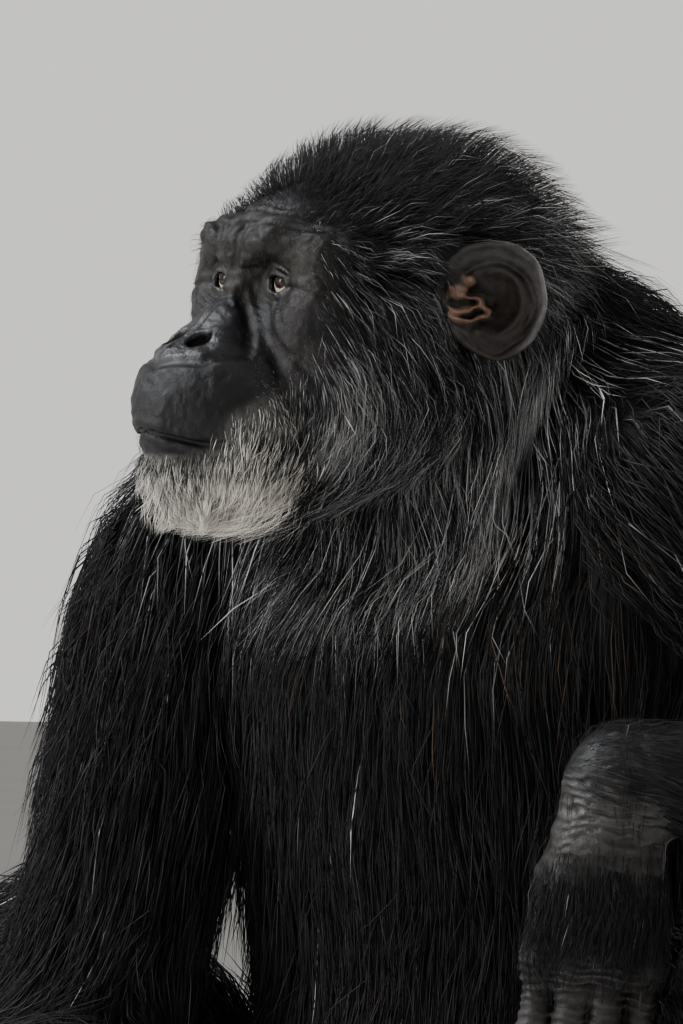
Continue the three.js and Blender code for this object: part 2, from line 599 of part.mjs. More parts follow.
// Which way each foot points, and which way its big toe lies.
const TOES = {
  left: [unit([0.35, -0.94, 0]), [-0.94, -0.35, 0]],
  right: [unit([-0.26, -0.96, 0]), [0.96, -0.26, 0]],
};
for (const [side, s] of [['left', 'L'], ['right', 'R']]) {
  const joints = ['shoulder', 'elbow', 'wrist', 'hip', 'knee', 'ankle'];
  const [shoulder, elbow, wrist, hip, knee, ankle] = joints.map((n) => J[n + s]);
  const hang = side === 'left' ? HANG.along : LAID.along;
  const limb = (name, field, a, b, flow, [rows, sectors, sizes], over) =>
    define(`${name}_${side}`, a, COAT, field, (g) => sleeve(field, g, a, b, 5, 11), {
      form: 'long', field, flow: () => flow, size: () => sizes, ridge: 6, sink: 8, over,
      roots: (draw) => ringRoots(field, a, b, rows, sectors, draw),
    });
  const armSkin = limbSkin('upper_arm', shoulder, elbow);
  limb('upper_arm', (p) => armSkin(p) - CORE, shoulder, elbow, unit(add(sub(elbow, shoulder), [0, 0, -60])),
    [[-0.12, 0.22, 0.56], 6, [125, 50, 16]], [`forearm_${side}`, 'torso']);
  const forearm = thinning(limbSkin('forearm', elbow, wrist), elbow, wrist, 0.72);
  limb('forearm', forearm, elbow, wrist, unit(add(sub(elbow, wrist), [0, 0, -50])),
    [[0.74, 0.36], 6, [105, 44, 17]], [`upper_arm_${side}`]);
  define(`hand_${side}`, wrist, SKIN, (p) => cone(p, wrist, add(wrist, hang, 190), 36, 30), HANDS[side]);
  const thighSkin = limbSkin('thigh', hip, knee);
  limb('thigh', (p) => thighSkin(p) - CORE, hip, knee, unit(add(sub(knee, hip), [0, 0, -90])),
    [[-0.04, 0.26, 0.62], 7, [118, 58, 14]], [`lower_leg_${side}`]);
  const lowerLeg = thinning(limbSkin('lower_leg', knee, ankle), knee, ankle, 0.7);
  limb('lower_leg', lowerLeg, knee, ankle, [0, 0, -1], [[0.12, 0.48], 6, [105, 44, 13]], []);
  const [toes, inner] = TOES[side];
  const footEnd = add(add(ankle, toes, 150), [0, 0, -1], 40);
  const aroundFoot = (p) => cone(p, ankle, footEnd, 40, 40);
  define(`foot_${side}`, ankle, SKIN, aroundFoot, (g) => makeFoot(ankle, toes, inner, g));
}
const torso = (p) => trunkSkin(p) - CORE;
const TORSO_ROWS = [[665, 7], [620, 10], [570, 11], [522, 11], [428, 11], [334, 11], [240, 11], [146, 11]];
const SHOULDER_ROWS = [[0.5, [15, 70, 125]], [0.9, [40, 100]]];
function torsoRoots(draw) {
  const roots = TORSO_ROWS.flatMap(([z, count], k) =>
    Array.from({ length: count }, (_, i) => {
      const w = (2 * Math.PI * (i + 0.5 * (k % 2) + 0.12 * (draw() - 0.5))) / count;
      return reach(torso, 0, spineAt(z + 14 * (draw() - 0.5)), round(w));
    }));
  for (const side of SIDES)
    for (const [t, angles] of SHOULDER_ROWS)
      for (const angle of angles) {
        const w = radians(angle + 14 * (draw() - 0.5));
        const onYoke = [side * 150 * t, -62 - 30 * t, 590 - 30 * t];
        roots.push(reach(torso, 0, onYoke, [0, -Math.cos(w), Math.sin(w)]));
      }
  return roots;
}
define('torso', J.pelvis, COAT, torso, (g) => torsoBody(torso, g), {
  form: 'long', field: torso, ridge: 7, sink: 11, over: ['upper_arm_left', 'upper_arm_right'],
  flow(p) {
    const outward = 0.9 * clamp(p[0] / 120, -1, 1) * smooth(540, 600, p[2]);
    return unit([outward, 0.2 * smooth(600, 680, p[2]), -1]);
  },
  size: (p) => [156, 72, 17 + 9 * smooth(560, 640, p[2])],
  roots: torsoRoots,
});
for (const [side, k] of [['left', 1], ['right', -1]])
  define(`eye_${side}`, fromHead([k * EYE[0], EYE[1], EYE[2]]), EYES, null, (g) => eyeBall(k, EYE_R + g));

// A node gives way to those defined before it, so that they meet face to face. Locks give way to all.
const bodies = [...NODES.values()].filter((n) => n.field);
const near = (a, b) => {
  const [p, q] = [a.boundingBox(), b.boundingBox()];
  return [0, 1, 2].every((i) => p.min[i] < q.max[i] && q.min[i] < p.max[i]);
};
const without = (made, cutters) => {
  const close = cutters.filter((c) => near(made, c));
  return close.length ? made.subtract(union(close)) : made;
};
const grownCore = new Map(bodies.map((n) => [n, n.core(GAP)]));
const group = new THREE.Group();
group.name = 'chimpanzee';
function place(n, made) {
  const { vertProperties, triVerts } = largest(made.subtract(FLOOR)).getMesh();
  const geometry = new THREE.BufferGeometry();
  geometry.setAttribute('position', new THREE.BufferAttribute(new Float32Array(vertProperties), 3));
  geometry.setIndex(new THREE.BufferAttribute(new Uint32Array(triVerts), 1));
  geometry.translate(...n.pivot.map((x) => -x));
  geometry.computeVertexNormals();
  const material = new THREE.MeshStandardMaterial({ color: n.colour, roughness: n.roughness, metalness: 0 });
  const mesh = new THREE.Mesh(geometry, material);
  mesh.name = n.name;
  mesh.position.set(...n.pivot);
  group.add(mesh);
}
const combed = []; // the locks of the nodes so far, and the same grown by the air round them
const combedWide = [];
const ROOTED = 60; // least volume that a lock shares with its core
bodies.forEach((n, index) => {
  const core = n.name === 'head' ? makeHead() : n.core(0);
  let made = without(core, bodies.slice(0, index).map((b) => grownCore.get(b)));
  if (n.coat) {
    const draw = seeded(SEED + index);
    const under = n.coat.over.map((name) => NODES.get(name).field);
    const rest = bodies.filter((b) => b !== n);
    const others = rest.filter((b) => !n.coat.over.includes(b.name)).map((b) => b.field);
    const cutters = [...rest.map((b) => grownCore.get(b)), ...combedWide];
    const locks = n.coat.roots(draw).flatMap((root) => growLock(n.coat, root, draw, under, others));
    const fits = locks.filter((l) => {
      l.body = without(lockBody(n.coat, l, 0), cutters);
      const clear = combed.every((m) => !near(m, l.body) || m.intersect(l.body).volume() < 1e-3);
      return clear && made.intersect(l.body).volume() > ROOTED;
    });
    made = union([made, ...fits.map((l) => l.body)]);
    combed.push(union(fits.map((l) => l.body)));
    combedWide.push(union(fits.map((l) => lockBody(n.coat, l, LOCK_GAP))));
  }
  place(n, made);
});
for (const n of NODES.values()) if (!n.field) place(n, n.core(0));
export default group;
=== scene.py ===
# Looks of a life-size seated chimpanzee: one skin over the whole body, eyes, nails and a coat of
# solid mesh hairs. Shapes are worked out in millimetres in the part's own frame, and written in metres.
import math

import bmesh
import bpy
import numpy as np
import openvdb
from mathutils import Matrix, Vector
from mathutils.kdtree import KDTree


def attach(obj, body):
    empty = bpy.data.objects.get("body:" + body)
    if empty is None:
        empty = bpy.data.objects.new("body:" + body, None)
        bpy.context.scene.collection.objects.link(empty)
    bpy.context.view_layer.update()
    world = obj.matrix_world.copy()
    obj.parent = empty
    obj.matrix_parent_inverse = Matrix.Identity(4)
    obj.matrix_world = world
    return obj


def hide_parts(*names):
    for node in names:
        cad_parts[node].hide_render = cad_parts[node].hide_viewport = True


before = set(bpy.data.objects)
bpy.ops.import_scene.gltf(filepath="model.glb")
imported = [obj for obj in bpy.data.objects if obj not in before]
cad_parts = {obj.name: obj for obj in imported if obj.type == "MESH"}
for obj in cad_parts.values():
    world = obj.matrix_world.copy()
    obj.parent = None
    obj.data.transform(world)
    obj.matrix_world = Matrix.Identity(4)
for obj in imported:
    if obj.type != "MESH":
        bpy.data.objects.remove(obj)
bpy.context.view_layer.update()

# Camera: the photo's angle, a long way off with a long lens.
CAMERA_AZIMUTH = 38
CAMERA_DISTANCE = 5.0
CAMERA_TARGET = (-0.0591, -0.1212, 0.563)
LONG_SIDE = 0.5535  # what the frame's long side covers at the target, in metres
SENSOR = 36


def make_camera():
    data = bpy.data.cameras.new("camera")
    camera = bpy.data.objects.new("camera", data)
    bpy.context.scene.collection.objects.link(camera)
    turn = math.radians(CAMERA_AZIMUTH)
    back = Vector((math.sin(turn), -math.cos(turn), 0))
    camera.location = Vector(CAMERA_TARGET) + back * CAMERA_DISTANCE
    camera.rotation_euler = (-back).to_track_quat("-Z", "Y").to_euler()
    data.sensor_width = SENSOR
    data.lens = SENSOR * CAMERA_DISTANCE / LONG_SIDE
    bpy.context.scene.camera = camera


make_camera()

# Joints of the skeleton, as in the part.
J = {name: np.array(place, np.float32) for name, place in {
    "pelvis": (0, 0, 105),
    "belly": (0, -30, 235),
    "chest": (0, -54, 415),
    "hump": (0, -28, 538),
    "neck_low": (0, -82, 560),
    "neck_top": (-6, -132, 640),
    "head": (-10, -155, 670),
    "shoulder_right": (-150, -120, 535),
    "elbow_right": (-152, -233, 268),
    "wrist_right": (-26, -352, 52),
    "shoulder_left": (161, -110, 570),
    "elbow_left": (386, -46, 402),
    "wrist_left": (208, -234, 427),
    "hip_right": (-88, -18, 104),
    "knee_right": (-235, -150, 314),
    "ankle_right": (-205, -228, 72),
    "hip_left": (88, -18, 104),
    "knee_left": (243, -156, 312),
    "ankle_left": (262, -222, 72),
}.items()}
HEAD_YAW = math.radians(18)
HEAD_ROLL = math.radians(3)
EYE = np.array((26.6, 70, 15), np.float32)
EYE_R = 11.5
SIDE_SIGN = {"left": 1, "right": -1}
MM = 0.001
FAR = 1e9


# Vectors and smooth steps.
def vec(*values):
    return np.array(values, np.float32)


def length(v):
    return np.sqrt(np.einsum("...i,...i->...", v, v))


def unit(v):
    v = np.asarray(v, np.float32)
    return v / np.maximum(length(v), 1e-9)[..., None]


def clamp(x, lo=0.0, hi=1.0):
    return np.minimum(np.maximum(x, lo), hi)


def smooth(lo, hi, x):
    t = clamp((x - lo) / (hi - lo))
    return t * t * (3 - 2 * t)


def bump(x, middle, width):
    """A soft peak of height 1."""
    return np.exp(-(((x - middle) / width) ** 2))


def mirrored(p):
    q = p.copy()
    q[:, 0] = np.abs(q[:, 0])
    return q


# Distances to simple forms, negative inside, over many points at once.
def ball(p, c, r):
    return length(p - np.asarray(c, np.float32)) - r


def egg(p, c, r):
    r = np.asarray(r, np.float32)
    q = (p - np.asarray(c, np.float32)) / r
    k0 = length(q)
    return k0 * (k0 - 1) / np.maximum(length(q / r), 1e-6)


def cone(p, a, b, ra, rb):
    a = np.asarray(a, np.float32)
    ab = np.asarray(b, np.float32) - a
    q = p - a
    t = clamp(q @ ab / float(ab @ ab))
    return length(q - t[:, None] * ab) - (ra + (rb - ra) * t)


def join(k, *parts):
    d = parts[0]
    for other in parts[1:]:
        h = np.maximum(k - np.abs(d - other), 0) / k
        d = np.minimum(d, other) - h * h * (k / 4)
    return d


def carve(k, d, cut):
    return -join(k, -d, cut)


def hashed(i, seed):
    h = (i[..., 0] * 73856093) ^ (i[..., 1] * 19349663) ^ (i[..., 2] * 83492791) ^ (seed * 2654435)
    h = (h ^ (h >> 13)) * 1274126177
    return ((h ^ (h >> 16)) & 0xFFFF).astype(np.float32) / 65535


def cell_corners(f):
    """Each corner of a grid's cell, with its share at places within the cell."""
    for corner in np.ndindex(2, 2, 2):
        x, y, z = (f[:, k] if on else 1 - f[:, k] for k, on in enumerate(corner))
        yield np.array(corner), x * y * z


def noise(p, scale, seed=0):
    """Smooth noise from -1 to 1."""
    q = p / np.asarray(scale, np.float32)
    base = np.floor(q)
    f = (q - base).astype(np.float32)
    f = f * f * (3 - 2 * f)
    i = base.astype(np.int64)
    total = 0
    for corner, weight in cell_corners(f):
        total = total + weight * hashed(i + corner, seed)
    return total * 2 - 1


# The head's own axes: across to its left, forward, up.
def head_turn():
    c, s = math.cos(-HEAD_YAW), math.sin(-HEAD_YAW)
    cr, sr = math.cos(HEAD_ROLL), math.sin(HEAD_ROLL)
    yaw = np.array(((c, -s, 0), (s, c, 0), (0, 0, 1)))
    roll = np.array(((cr, 0, sr), (0, 1, 0), (-sr, 0, cr)))
    return (yaw @ roll @ np.diag((1, -1, 1))).astype(np.float32)


HEAD_TURN = head_turn()


def to_head(p):
    return (p - J["head"]) @ HEAD_TURN


def from_head(h):
    return np.asarray(h, np.float32) @ HEAD_TURN.T + J["head"]


def turn_from_head(d):
    return np.asarray(d, np.float32) @ HEAD_TURN.T


# Skin of the head.
def near_line(q, line):
    """Distance of each place to a line of points."""
    near = np.full(len(q), FAR, np.float32)
    for a, b in zip(line, line[1:]):
        near = np.minimum(near, cone(q, a, b, 0, 0))
    return near


def groove(q, line, width, depth):
    """How deep a groove along a line of points cuts at each place."""
    return depth * bump(near_line(q, line), 0, width)


FOLDS = {  # points of each fold on one side of the face, its width and depth
    "nose": ((8, 91, 8), (18, 93, -3), (26, 96, -16), (28, 102, -28), (17, 118, -36), (0, 127, -37),
             2.8, 2.9),
    "cheek": ((13, 84, 6), (26, 88, -7), (36, 88, -22), (41, 86, -38), (46, 82, -56), 3.2, 2.1),
    "outer": ((20, 82, 1), (33, 82, -10), (45, 76, -24), (53, 64, -42), 2.8, 1.4),
    "inner": ((11, 86, 12), (19, 88, 1), (30, 88, -9), 1.7, 1.3),
    "frown": ((5, 95, 24), (8, 98, 34), (7, 92, 47), 2.4, 4.4),
    "brow": ((11, 93, 34), (13, 92, 43), (24, 89, 49), (38, 80, 47), (50, 66, 38), 2.2, 2.9),
    "lid": ((13, 80, 19), (25, 84, 26), (38, 77, 21), 1.5, 1.6),
    "bridge_high": ((0, 95, 31), (14, 90, 32), 1.6, 1.5),
    "bridge_low": ((0, 92, 22), (15, 84, 23), 1.6, 1.4),
    "crow": ((38, 76, 12), (50, 70, 9), (58, 60, 9), 1.3, 1.0),
    "middle": ((0, 100, 2), (0, 125, -24), 1.5, 1.8),
    "chin": ((0, 134, -86), (20, 122, -87), (32, 106, -86), 3.0, 1.6),
}
FOLD_DEEPER = 1.45
LIP_POINTS = ((0, 147, -64.5), (8, 145, -66), (16, 141, -68), (28, 128, -71), (38, 112, -70))


def face_form(q):
    """The head's large forms, on one side."""
    skull = egg(q, (0, -8, 24), (63, 82, 53))
    forehead = egg(q, (0, 46, 27), (50, 43, 33))
    face = egg(q, (0, 52, -18), (54, 44, 56))
    cheekbone = cone(q, (42, 62, 0), (62, 26, -4), 17, 14)
    brow = join(5, cone(q, (0, 83, 34), (25, 83, 38), 10.5, 9.5),
                cone(q, (25, 83, 38), (49, 64, 33), 9.5, 11))
    orbit = join(8, cone(q, (49, 64, 32), (48, 66, 10), 11, 12.5),
                 cone(q, (48, 66, 10), (38, 74, -14), 12.5, 12))
    bridge = cone(q, (0, 75, 24), (0, 86, 0), 8.5, 9.5)
    muzzle = egg(q, (0, 98, -46), (45, 45.5, 36))
    lip = cone(q, (0, 123, -55), (34, 97, -61), 23.5, 17)
    lower_lip = cone(q, (0, 123, -75), (32, 96, -78), 16.5, 13)
    chin = egg(q, (0, 90, -84), (34, 38, 20))
    jaw = cone(q, (50, 8, -46), (28, 80, -80), 23, 19)
    cheek = egg(q, (44, 42, -36), (26, 40, 34))
    throat = egg(q, (0, 34, -62), (44, 56, 34))
    d = join(22, skull, forehead, face, cheek, throat, jaw, cheekbone)
    d = join(16, d, muzzle, chin)
    d = join(9, join(13, d, brow), orbit, bridge, lip, lower_lip)
    d = carve(8, d, egg(q, (27, 95, 14), (18, 16, 15)))
    wing = join(5, cone(q, (8, 97, -8), (15.5, 107, -19), 8.5, 9.5),
                cone(q, (0, 97, -5), (0, 115, -23), 9.5, 8.5))
    return join(5, d, join(5, wing, cone(q, (0, 119, -27), (15, 110, -27), 5.5, 6)))


def laid(points, sink=0.0, parts=5):
    """A line of points laid on the surface of the face, with more points between."""
    points = np.array(points, np.float32)
    t = np.linspace(0, len(points) - 1, (len(points) - 1) * parts + 1)
    line = np.stack([np.interp(t, np.arange(len(points)), points[:, i]) for i in range(3)], 1)
    line = line.astype(np.float32)
    for _ in range(4):
        d, n, _ = slope(face_form, line)
        line -= n * (d + sink)[:, None]
    return line


def slope(field, p, step=1.2):
    """Distance, outward direction and raw slope of a field."""
    d = field(p)
    g = np.stack([field(p + vec(*[step if k == i else 0 for k in range(3)])) - d for i in range(3)], 1)
    return d, unit(g), g / step


LAID_FOLDS = [(laid(points), width, depth) for *points, width, depth in FOLDS.values()]
LIP_LINE = laid(LIP_POINTS, 0.3)
NOSTRIL = laid([(10.5, 118, -17), (10.5, 118, -17)])[:1]
NOSTRIL_WAY = slope(face_form, NOSTRIL)[1][0]
NOSTRIL_ACROSS = unit(np.cross(NOSTRIL_WAY, (-0.35, 0.3, 1)))
NOSTRIL_UP = np.cross(NOSTRIL_WAY, NOSTRIL_ACROSS)


def eye_place(q):
    """Across and up from the middle of the eye's opening, tilted as it is."""
    u, v = q[:, 0] - EYE[0] - 0.2, q[:, 2] - EYE[2]
    return u, v - 0.04 * u


def fold_share(q):
    """How far into a named fold each place lies, from 0 to 1."""
    return np.max([bump(near_line(q, line), 0, width) for line, width, _ in LAID_FOLDS], 0)


def fine_folds(h, q, u, v):
    """Wrinkles too many to name."""
    wobble = noise(h, 13, 3)
    front = smooth(58, 74, q[:, 1])
    ring = np.sqrt((u / 1.5) ** 2 + v ** 2)
    under = smooth(-5, -10, v) * bump(ring, 13, 6) * front * (0.6 + 0.6 * noise(h, 9, 4))
    fold = 0.55 * under * np.cos(2 * math.pi * (ring / 2.9 + 0.5 * wobble))
    over_brow = bump(q[:, 2], 52, 8) * smooth(52, 40, q[:, 0]) * smooth(60, 72, q[:, 1])
    fold += 0.5 * over_brow * np.cos(2 * math.pi * (q[:, 2] / 4.6 + 0.7 * wobble))
    on_brow = bump(q[:, 2], 40, 7) * smooth(70, 80, q[:, 1])
    fold += 1.0 * on_brow * noise(h, (5, 6, 2.6), 6)
    between = smooth(17, 9, q[:, 0]) * bump(q[:, 2], 18, 14) * front
    fold += 0.9 * between * noise(h, (7, 6, 2.4), 5)
    side = bump(q[:, 0], 32, 14) * bump(q[:, 2], -10, 15) * front
    slant = vec(0.75, 0, 0.65)
    fold += 0.75 * side * noise(np.stack((q @ slant, q[:, 1], q[:, 2] * 0.3), 1), (2.6, 9, 9), 8)
    upper_lip = bump(q[:, 2], -48, 13) * smooth(96, 112, q[:, 1])
    fold += 0.07 * upper_lip * np.cos(2 * math.pi * (h[:, 0] / 3.4 + 0.8 * wobble))
    fold += 0.35 * bump(q[:, 2], -86, 10) * smooth(84, 98, q[:, 1]) * noise(h, (4, 5, 2.6), 7)
    return fold + (0.6 * noise(h, 10, 1) + 0.38 * noise(h, 4, 2) + 0.2 * noise(h, 2.4, 9)) * front


# The opening between the lids: the half width and heights of its curve, where it is cut off at both
# ends, and how far in front of the middle of the eyeball its floor lies.
OPENING_HALF, OPENING_UP, OPENING_DOWN = 9.1, 4.3, 4.6
OPENING_MIDDLE, OPENING_REACH = 0.2, 7.0
OPENING_FLOOR = 5.5
LID_THICK, EYE_GAP = 2.2, 0.3
LIP_ROLL, LIP_CUT = 1.1, 1.5
NOSTRIL_SIZE = (7.3, 14, 6.3)


def face_skin(h):
    q = mirrored(h)
    d = face_form(q)
    u, v = eye_place(q)
    # Lids round the eye, with the opening between them.
    d = join(3.5, d, ball(q, EYE, EYE_R + LID_THICK))
    share = clamp(1 - (u / OPENING_HALF) ** 2, 0, 1)
    opening = np.maximum(v - OPENING_UP * share ** 0.8, -OPENING_DOWN * share ** 0.7 - v)
    ends = np.abs(u - OPENING_MIDDLE) - OPENING_REACH
    opening = np.maximum(opening, np.maximum(ends, EYE[1] + OPENING_FLOOR - q[:, 1]))
    d = carve(1.3, d, opening)
    d = np.maximum(d, -ball(q, EYE, EYE_R + EYE_GAP))
    for line, width, depth in LAID_FOLDS:
        d = d + FOLD_DEEPER * groove(q, line, width, depth)
    d = d + fine_folds(h, q, u, v)
    lips = near_line(q, LIP_LINE)
    d = d - LIP_ROLL * bump(lips, 5.0, 2.8)
    d = carve(1.2, d, lips - LIP_CUT)
    away = q - NOSTRIL
    turned = np.stack((away @ NOSTRIL_ACROSS, away @ NOSTRIL_WAY, away @ NOSTRIL_UP), 1)
    return carve(1.8, d, egg(turned, (0, 0, 0), NOSTRIL_SIZE))


# Skin of the trunk, neck and limbs.
def trunk_skin(p):
    q = mirrored(p)
    pelvis = egg(q, J["pelvis"], (126, 112, 125))
    belly = egg(q, J["belly"], (149, 138, 175))
    chest = egg(q, J["chest"], (146, 128, 155))
    hump = egg(q, J["hump"], (122, 94, 108))
    yoke = cone(q, (0, -62, 590), (138, -92, 556), 62, 56)
    pectoral = cone(q, (30, -150, 470), (120, -120, 500), 36, 40)
    rump = cone(q, (66, 12, 70), (84, -14, 96), 66, 66)
    nape = cone(q, (0, -75, 655), (48, -44, 620), 50, 50)
    trapezius = cone(q, (48, -44, 620), (125, -78, 582), 50, 52)
    return join(30, join(40, pelvis, belly, chest, hump, yoke, pectoral, rump), nape, trapezius)


def neck_skin(p):
    front = cone(p, J["neck_low"], J["neck_top"], 82, 62)
    return join(30, front, cone(p, (0, -30, 580), (-3, -112, 690), 76, 52))


LIMBS = {
    "upper_arm": ("shoulder", "elbow", ((0, 53), (0.2, 51), (0.5, 43), (0.82, 36), (1, 36))),
    "forearm": ("elbow", "wrist", ((0, 36), (0.22, 40), (0.6, 33), (1, 27))),
    "thigh": ("hip", "knee", ((0, 76), (0.35, 68), (0.75, 52), (1, 46))),
    "lower_leg": ("knee", "ankle", ((0, 43), (0.3, 44), (0.65, 33), (1, 27))),
}


def limb_skin(kind, side):
    top, end, rows = LIMBS[kind]
    a, b = J[f"{top}_{side}"], J[f"{end}_{side}"]

    def field(p):
        return join(14, *[cone(p, a + (b - a) * t0, a + (b - a) * t1, r0, r1)
                          for (t0, r0), (t1, r1) in zip(rows, rows[1:])])
    return field


# Hands and feet: a palm or sole of rays, and digits of jointed bones.
def blend(u, s, v, t):
    return np.asarray(u, np.float32) * s + np.asarray(v, np.float32) * t


def bones_of(root, along, palm, bones, bends):
    """Joint places of a digit, each bone bent from the last towards the palm."""
    way, down = along, palm
    points = [root]
    for bone, bend in zip(bones, bends):
        turn = math.radians(bend)
        way, down = (blend(way, math.cos(turn), down, math.sin(turn)),
                     blend(down, math.cos(turn), way, -math.sin(turn)))
        points.append(points[-1] + way * bone)
    return points, down


HAND = {"palm": 94, "spread": 16.6, "digits": ((42, 27, 20), (47, 31, 22), (45, 30, 21), (36, 23, 18))}
HAND_POSES = {
    "left": (unit((-0.08, -0.1, -1)), unit((-0.6, 0.8, -0.06)), 1, (6, 12, 10), 0.2),
    "right": (unit((0.22, -0.97, -0.16)), unit((0.03, -0.15, -0.98)), -1, (-4, 22, 14), 0.5),
}
FOOT_POSES = {
    "left": (unit((0.35, -0.94, 0)), vec(-0.94, -0.35, 0)),
    "right": (unit((-0.26, -0.96, 0)), vec(0.96, -0.26, 0)),
}


def hand_parts(side):
    along, palm, thumb_side, bends, thumb = HAND_POSES[side]
    across = unit(np.cross(palm, along)) * thumb_side
    root = J[f"wrist_{side}"] + along * 8
    knuckles = [root + along * (HAND["palm"] - 2.2 * (i - 1.2) ** 2) + across * ((1.5 - i) * HAND["spread"])
                + palm * (0.012 * ((1.5 - i) * HAND["spread"]) ** 2) for i in range(4)]
    heels = [root + across * ((1.5 - i) * 8) + along * 4 for i in range(4)]
    digits = []
    for i, bones in enumerate(HAND["digits"]):
        way = unit(along + across * ((1.5 - i) * 0.045))
        digits.append((*bones_of(knuckles[i], way, palm, bones, bends), 9.5 - 0.6 * abs(i - 1.3)))
    thumb_way = unit(along + across * thumb + palm * 0.25)
    thumb_root = root + along * 22 + across * 20 + palm * 6
    digits.append((*bones_of(thumb_root, thumb_way, palm, (24, 24, 18), (0, 8, 14)), 7.6))
    return {"along": along, "palm": palm, "root": root, "knuckles": knuckles, "heels": heels,
            "digits": digits}


def foot_parts(side):
    along, inner = FOOT_POSES[side]
    ankle = J[f"ankle_{side}"]
    sole = vec(0, 0, -1)

    def low(p, z):
        return vec(p[0], p[1], z)
    knuckles = [low(ankle + along * (128 - 7 * i) + inner * ((1.2 - i) * 17), 13.5) for i in range(4)]
    digits = []
    for i, bones in enumerate(((26, 25), (29, 28), (27, 26), (23, 23))):
        way = unit(along + inner * (0.05 * (1.5 - i)))
        digits.append((*bones_of(knuckles[i], way, sole, bones, (6, 20)), 9.2))
    toe_root = low(ankle + along * 42 + inner * 24, 17)
    digits.append((*bones_of(toe_root, unit(along + inner * 0.75), sole, (36, 40), (2, 8)), 12))
    return {"along": along, "across": inner, "knuckles": knuckles, "low": low, "digits": digits}


def digit_field(p, digit):
    points, _, radius = digit
    d = None
    for k, (a, b) in enumerate(zip(points, points[1:])):
        last = k == len(points) - 2
        ra, rb = radius * (1 - 0.08 * k), radius * ((1 - 0.08 * (k + 1)) * (0.86 if last else 0.94))
        bone = cone(p, a, b, ra, rb)
        d = bone if d is None else join(3, d, bone, ball(p, a, ra + 0.9))
    return d


def near_only(field, lo, hi, far=60.0):
    """The field inside a box, and a large distance outside it, to save work."""
    lo, hi = np.asarray(lo, np.float32), np.asarray(hi, np.float32)

    def limited(p):
        gap = np.maximum(np.maximum(lo - p, p - hi), 0)
        out = length(gap) + far
        inside = (gap == 0).all(1)
        if inside.any():
            out[inside] = field(p[inside])
        return out
    return limited


HAND_LOW, FOOT_LOW, BODY_LOW = 0.3, 0.2, 0.4  # lowest skin over the floor


def hand_folds(p, side):
    """Wrinkles across the wrist, the back of the hand and each joint; above 0 they cut in."""
    along, palm = HAND_POSES[side][:2]
    away = p - J[f"wrist_{side}"]
    reach = away @ along
    behind = smooth(-2, 6, -(away @ palm))
    wobble = noise(p, 16, 11) + 0.6 * noise(p, 7, 14)
    wrist = bump(reach, 18, 28) * behind * (0.7 + 0.7 * noise(p, 11, 15))
    fold = 0.8 * wrist * np.cos(2 * math.pi * (reach / 4.8 + 0.6 * wobble))
    knuckle = bump(reach, HAND["palm"] + 8, 14) * (0.7 + 0.5 * noise(p, 9, 16))
    fold += 0.95 * knuckle * np.cos(2 * math.pi * (reach / 4.4 + 0.5 * wobble))
    fold += 0.45 * smooth(104, 116, reach) * np.cos(2 * math.pi * (reach / 5.0 + 0.4 * wobble))
    return fold + 0.7 * noise(p, (9, 9, 5), 12) + 0.4 * noise(p, (5, 5, 2.8), 13)


def hand_skin(side):
    h = hand_parts(side)
    wrist, elbow = J[f"wrist_{side}"], J[f"elbow_{side}"]
    up_arm = unit(elbow - wrist)

    def field(p):
        palm = join(10, *[cone(p, a, b, 14, 12.2) for a, b in zip(h["heels"], h["knuckles"])])
        fingers = digit_field(p, h["digits"][0])
        for digit in h["digits"][1:4]:
            fingers = join(1.2, fingers, digit_field(p, digit))
        thumb = digit_field(p, h["digits"][4])
        ball_of_thumb = cone(p, h["root"] + h["along"] * 20, h["digits"][4][0][1], 14, 10)
        knuckle_balls = np.min([ball(p, k - h["palm"] * 1.5, 10.6) for k in h["knuckles"]], 0)
        stump = cone(p, wrist + up_arm * 6, wrist + up_arm * 62, 25.5, 29.5)
        back = join(12, palm, stump, cone(p, wrist, h["root"] + h["along"] * 22, 23, 17))
        d = join(6, back, fingers, knuckle_balls)
        d = join(7, d, thumb, ball_of_thumb)
        return np.maximum(d + hand_folds(p, side), HAND_LOW - p[:, 2])
    return field


def foot_skin(side):
    f = foot_parts(side)
    ankle, along, inner, low = J[f"ankle_{side}"], f["along"], f["across"], f["low"]
    heel = low(ankle - along * 26, 24)
    middles = [low(ankle + along * 34 + inner * ((1.2 - i) * 9), 24) for i in range(4)]
    up_leg = unit(J[f"knee_{side}"] - ankle)

    def field(p):
        instep = cone(p, ankle + vec(0, 0, -4), low(ankle + along * 40, 30), 28, 23)
        arch = cone(p, heel, low(ankle + along * 50, 22), 26, 21)
        rays = [cone(p, m, k, 21, 12.4) for m, k in zip(middles, f["knuckles"])]
        shin = cone(p, ankle, ankle + up_leg * 60, 27, 31)
        d = join(14, instep, arch, shin, *rays)
        toes = digit_field(p, f["digits"][0])
        for digit in f["digits"][1:4]:
            toes = join(1.2, toes, digit_field(p, digit))
        d = join(6, d, toes)
        d = join(8, d, digit_field(p, f["digits"][4]))
        reach = (p - ankle) @ along
        folds = bump(reach, 128, 26) * smooth(10, 22, p[:, 2])
        d = d + 0.5 * folds * np.cos(2 * math.pi * (reach / 5.2 + 0.5 * noise(p, 14, 21)))
        d = d + 0.5 * noise(p, 8, 22) + 0.25 * noise(p, 3.6, 23)
        return np.maximum(d, FOOT_LOW - p[:, 2])
    return field


PARTS = {}


def add_part(name, field, lo, hi):
    PARTS[name] = near_only(field, lo, hi)


def around(points, reach):
    points = np.array(points)
    return points.min(0) - reach, points.max(0) + reach


